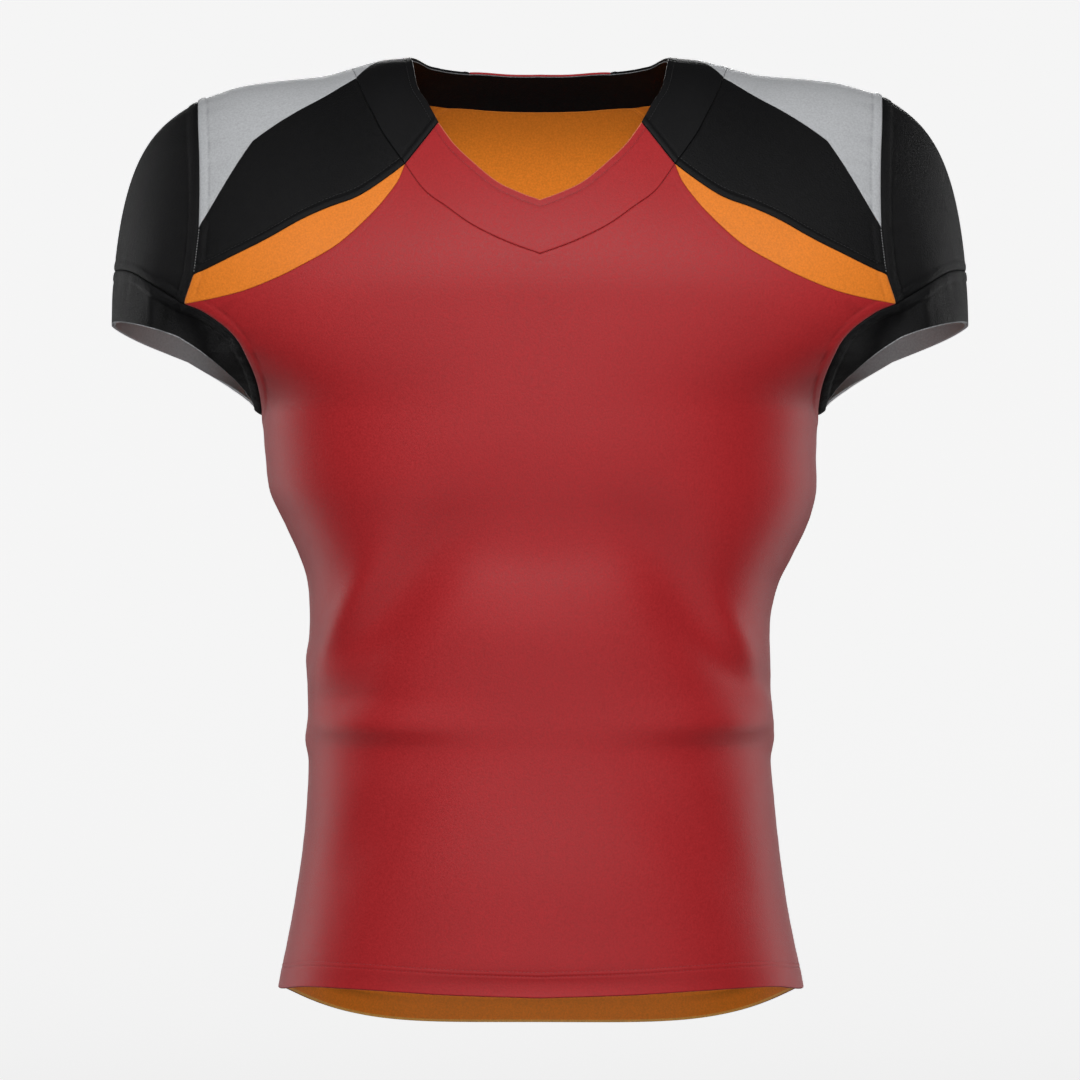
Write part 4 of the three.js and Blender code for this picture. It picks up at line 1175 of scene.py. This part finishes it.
def sleeve_frame(side):
    """For each fine step round the armhole: its point and normal, the facing point of the
    sleeve end, and how the sleeve leaves the one and arrives at the other."""
    def down(back):
        return joined(inset_armhole[side, back], yoke_armhole[side, back],
                      chest_armhole[side, back], underarm[side, back])
    loop = joined(down(False), down(True)[::-1])
    points, normals = on_body(along(loop, np.linspace(0, 1, 2 * ARMPIT * FINE + 1)))
    length = length_along(points)
    marks = np.array([0, CORNER, ARMPIT, 2 * ARMPIT - CORNER, 2 * ARMPIT]) * FINE
    angle = np.radians(np.interp(length, length[marks], [0, 90, 180, 270, 360]))[:-1]
    points, normals = points[:-1], normals[:-1]
    part, face = (1 - np.cos(angle)) / 2, np.sin(angle)
    arch = (np.where(face > 0, OPENING_ARCH["front"], OPENING_ARCH["back"])
            - OPENING_SAG * np.maximum(np.cos(angle), 0))
    end = np.stack([SIGN[side] * (OPENING_OUTER[0] + (OPENING_INNER[0] - OPENING_OUTER[0]) * part),
                    -OPENING_HALF_DEPTH * face,
                    OPENING_OUTER[1] + (OPENING_INNER[1] - OPENING_OUTER[1]) * part
                    + arch * np.abs(face)], -1)
    straight = end - points
    reach = np.linalg.norm(straight, axis=1, keepdims=True)
    share = smooth(-np.cos(angle), -0.1, 0.6)[:, None]
    leave = unit(straight - normals * (straight * normals).sum(1, keepdims=True)) * reach * CAP_SWELL
    arrive = np.concatenate([reach * SIGN[side] * CUFF_FLARE, reach * 0, -reach * CUFF_DROP], axis=1)
    return points, end, leave + (straight - leave) * share, arrive + (straight - arrive) * share


def sleeve_point(curves, t):
    """Smooth curves from the armhole to the sleeve end, at parts t of the way (rows, round)."""
    point, end, leave, arrive = (value[None] for value in curves)
    t = t[..., None]
    ease = t * t * (3 - 2 * t)
    return (point * (1 - ease) + end * ease + leave * t * (1 - t) ** 2 - arrive * t * t * (1 - t))


def sleeve_cells(curves, t, side):
    """Points and outward normals of the sleeve at parts t of the way down."""
    above = sleeve_point(curves, np.maximum(t - 0.01, 0))
    below = sleeve_point(curves, np.minimum(t + 0.01, 1))
    point = sleeve_point(curves, t)
    around = np.roll(point, -1, axis=1) - np.roll(point, 1, axis=1)
    normal = unit(np.cross(around, below - above))
    return point, normal * SIGN[side]


def cuff_folds(side, down, round_steps):
    """Small soft folds of the cuff, each a bell round the sleeve and a bell down it, that fade
    out at the seam."""
    turn = np.arange(round_steps)[None] / round_steps * 360
    down = down[:, None]
    height = 0
    for at, wide, middle, long, out in CUFF_FOLDS[side]:
        apart = (turn - at + 180) % 360 - 180
        height = height + out * np.exp(-((apart / wide) ** 2) - ((down - middle) / long) ** 2)
    return height * smooth(down, 0, 0.3)


def cuff_seam_parts(curves):
    """Part of the way down each curve at which the cuff is sewn on, by halving."""
    steps = len(curves[0])
    low, high = np.zeros(steps), np.ones(steps)
    for _ in range(HALVINGS):
        middle = (low + high) / 2
        point = sleeve_point(curves, middle[None])[0]
        above = point[:, 2] > look_up(CUFF_SEAM, 1, np.abs(point[:, 0]))
        low, high = np.where(above, middle, low), np.where(above, high, middle)
    from_top = np.minimum(np.arange(steps), steps - np.arange(steps))
    return np.where(from_top >= CORNER * FINE, 0, low)


def sleeve_chart(t):
    """Cloth coordinates of a sleeve: even steps round it, and the length down it."""
    round_it = np.arange(t.shape[1])[None] * ROUND_STEP
    return np.stack(np.broadcast_arrays(round_it, -t * SLEEVE_LENGTH), -1)


def closed_row(row):
    """A row of points round the sleeve with the first one again at its end."""
    return np.vstack([row, row[:1]])


for side in SIDES:
    curves = sleeve_frame(side)
    seam_at = cuff_seam_parts(curves)
    order = np.arange(-CORNER * FINE, CORNER * FINE + 1) % len(seam_at)
    cap_t = parts(CAP_CELLS)[:, None] * seam_at[None]
    points, normals = (values[:, order] for values in sleeve_cells(curves, cap_t, side))
    relief = (seam_relief(points, points[0], *CAP_ARMHOLE_SEAM)
              + seam_relief(points, points[-1], *CAP_CUFF_SEAM))
    cap = cloth_wall("sleeve_cap_%s_panel" % side, points, normals, relief, CLOTH,
                     sleeve_chart(cap_t[:, order]), black_cloth, grey_cloth)
    down = parts(CUFF_CELLS)
    cuff_t = seam_at[None] + (1 - seam_at[None]) * down[:, None]
    points, normals = sleeve_cells(curves, cuff_t, side)
    relief = seam_relief(points, closed_row(points[0]), *CUFF_TOP_SEAM)
    relief = relief + cuff_folds(side, down, len(seam_at))
    cuff = cloth_wall("cuff_%s_panel" % side, points, normals, relief, CLOTH, sleeve_chart(cuff_t),
                      black_cloth, grey_cloth, ring=True, trim_and_highlight=hairline(points, closed_row(points[-1])))
    under = cloth_wall("cuff_lining_%s_panel" % side, points - normals * CUFF_LINING_DEPTH,
                       normals, relief * 0, LINING_CLOTH, sleeve_chart(cuff_t), grey_cloth,
                       grey_cloth, ring=True)
    sewn_in(cap, "sleeve_cap_" + side)
    sewn_in(cuff, "cuff_" + side)
    sewn_in(under, "cuff_lining_" + side)
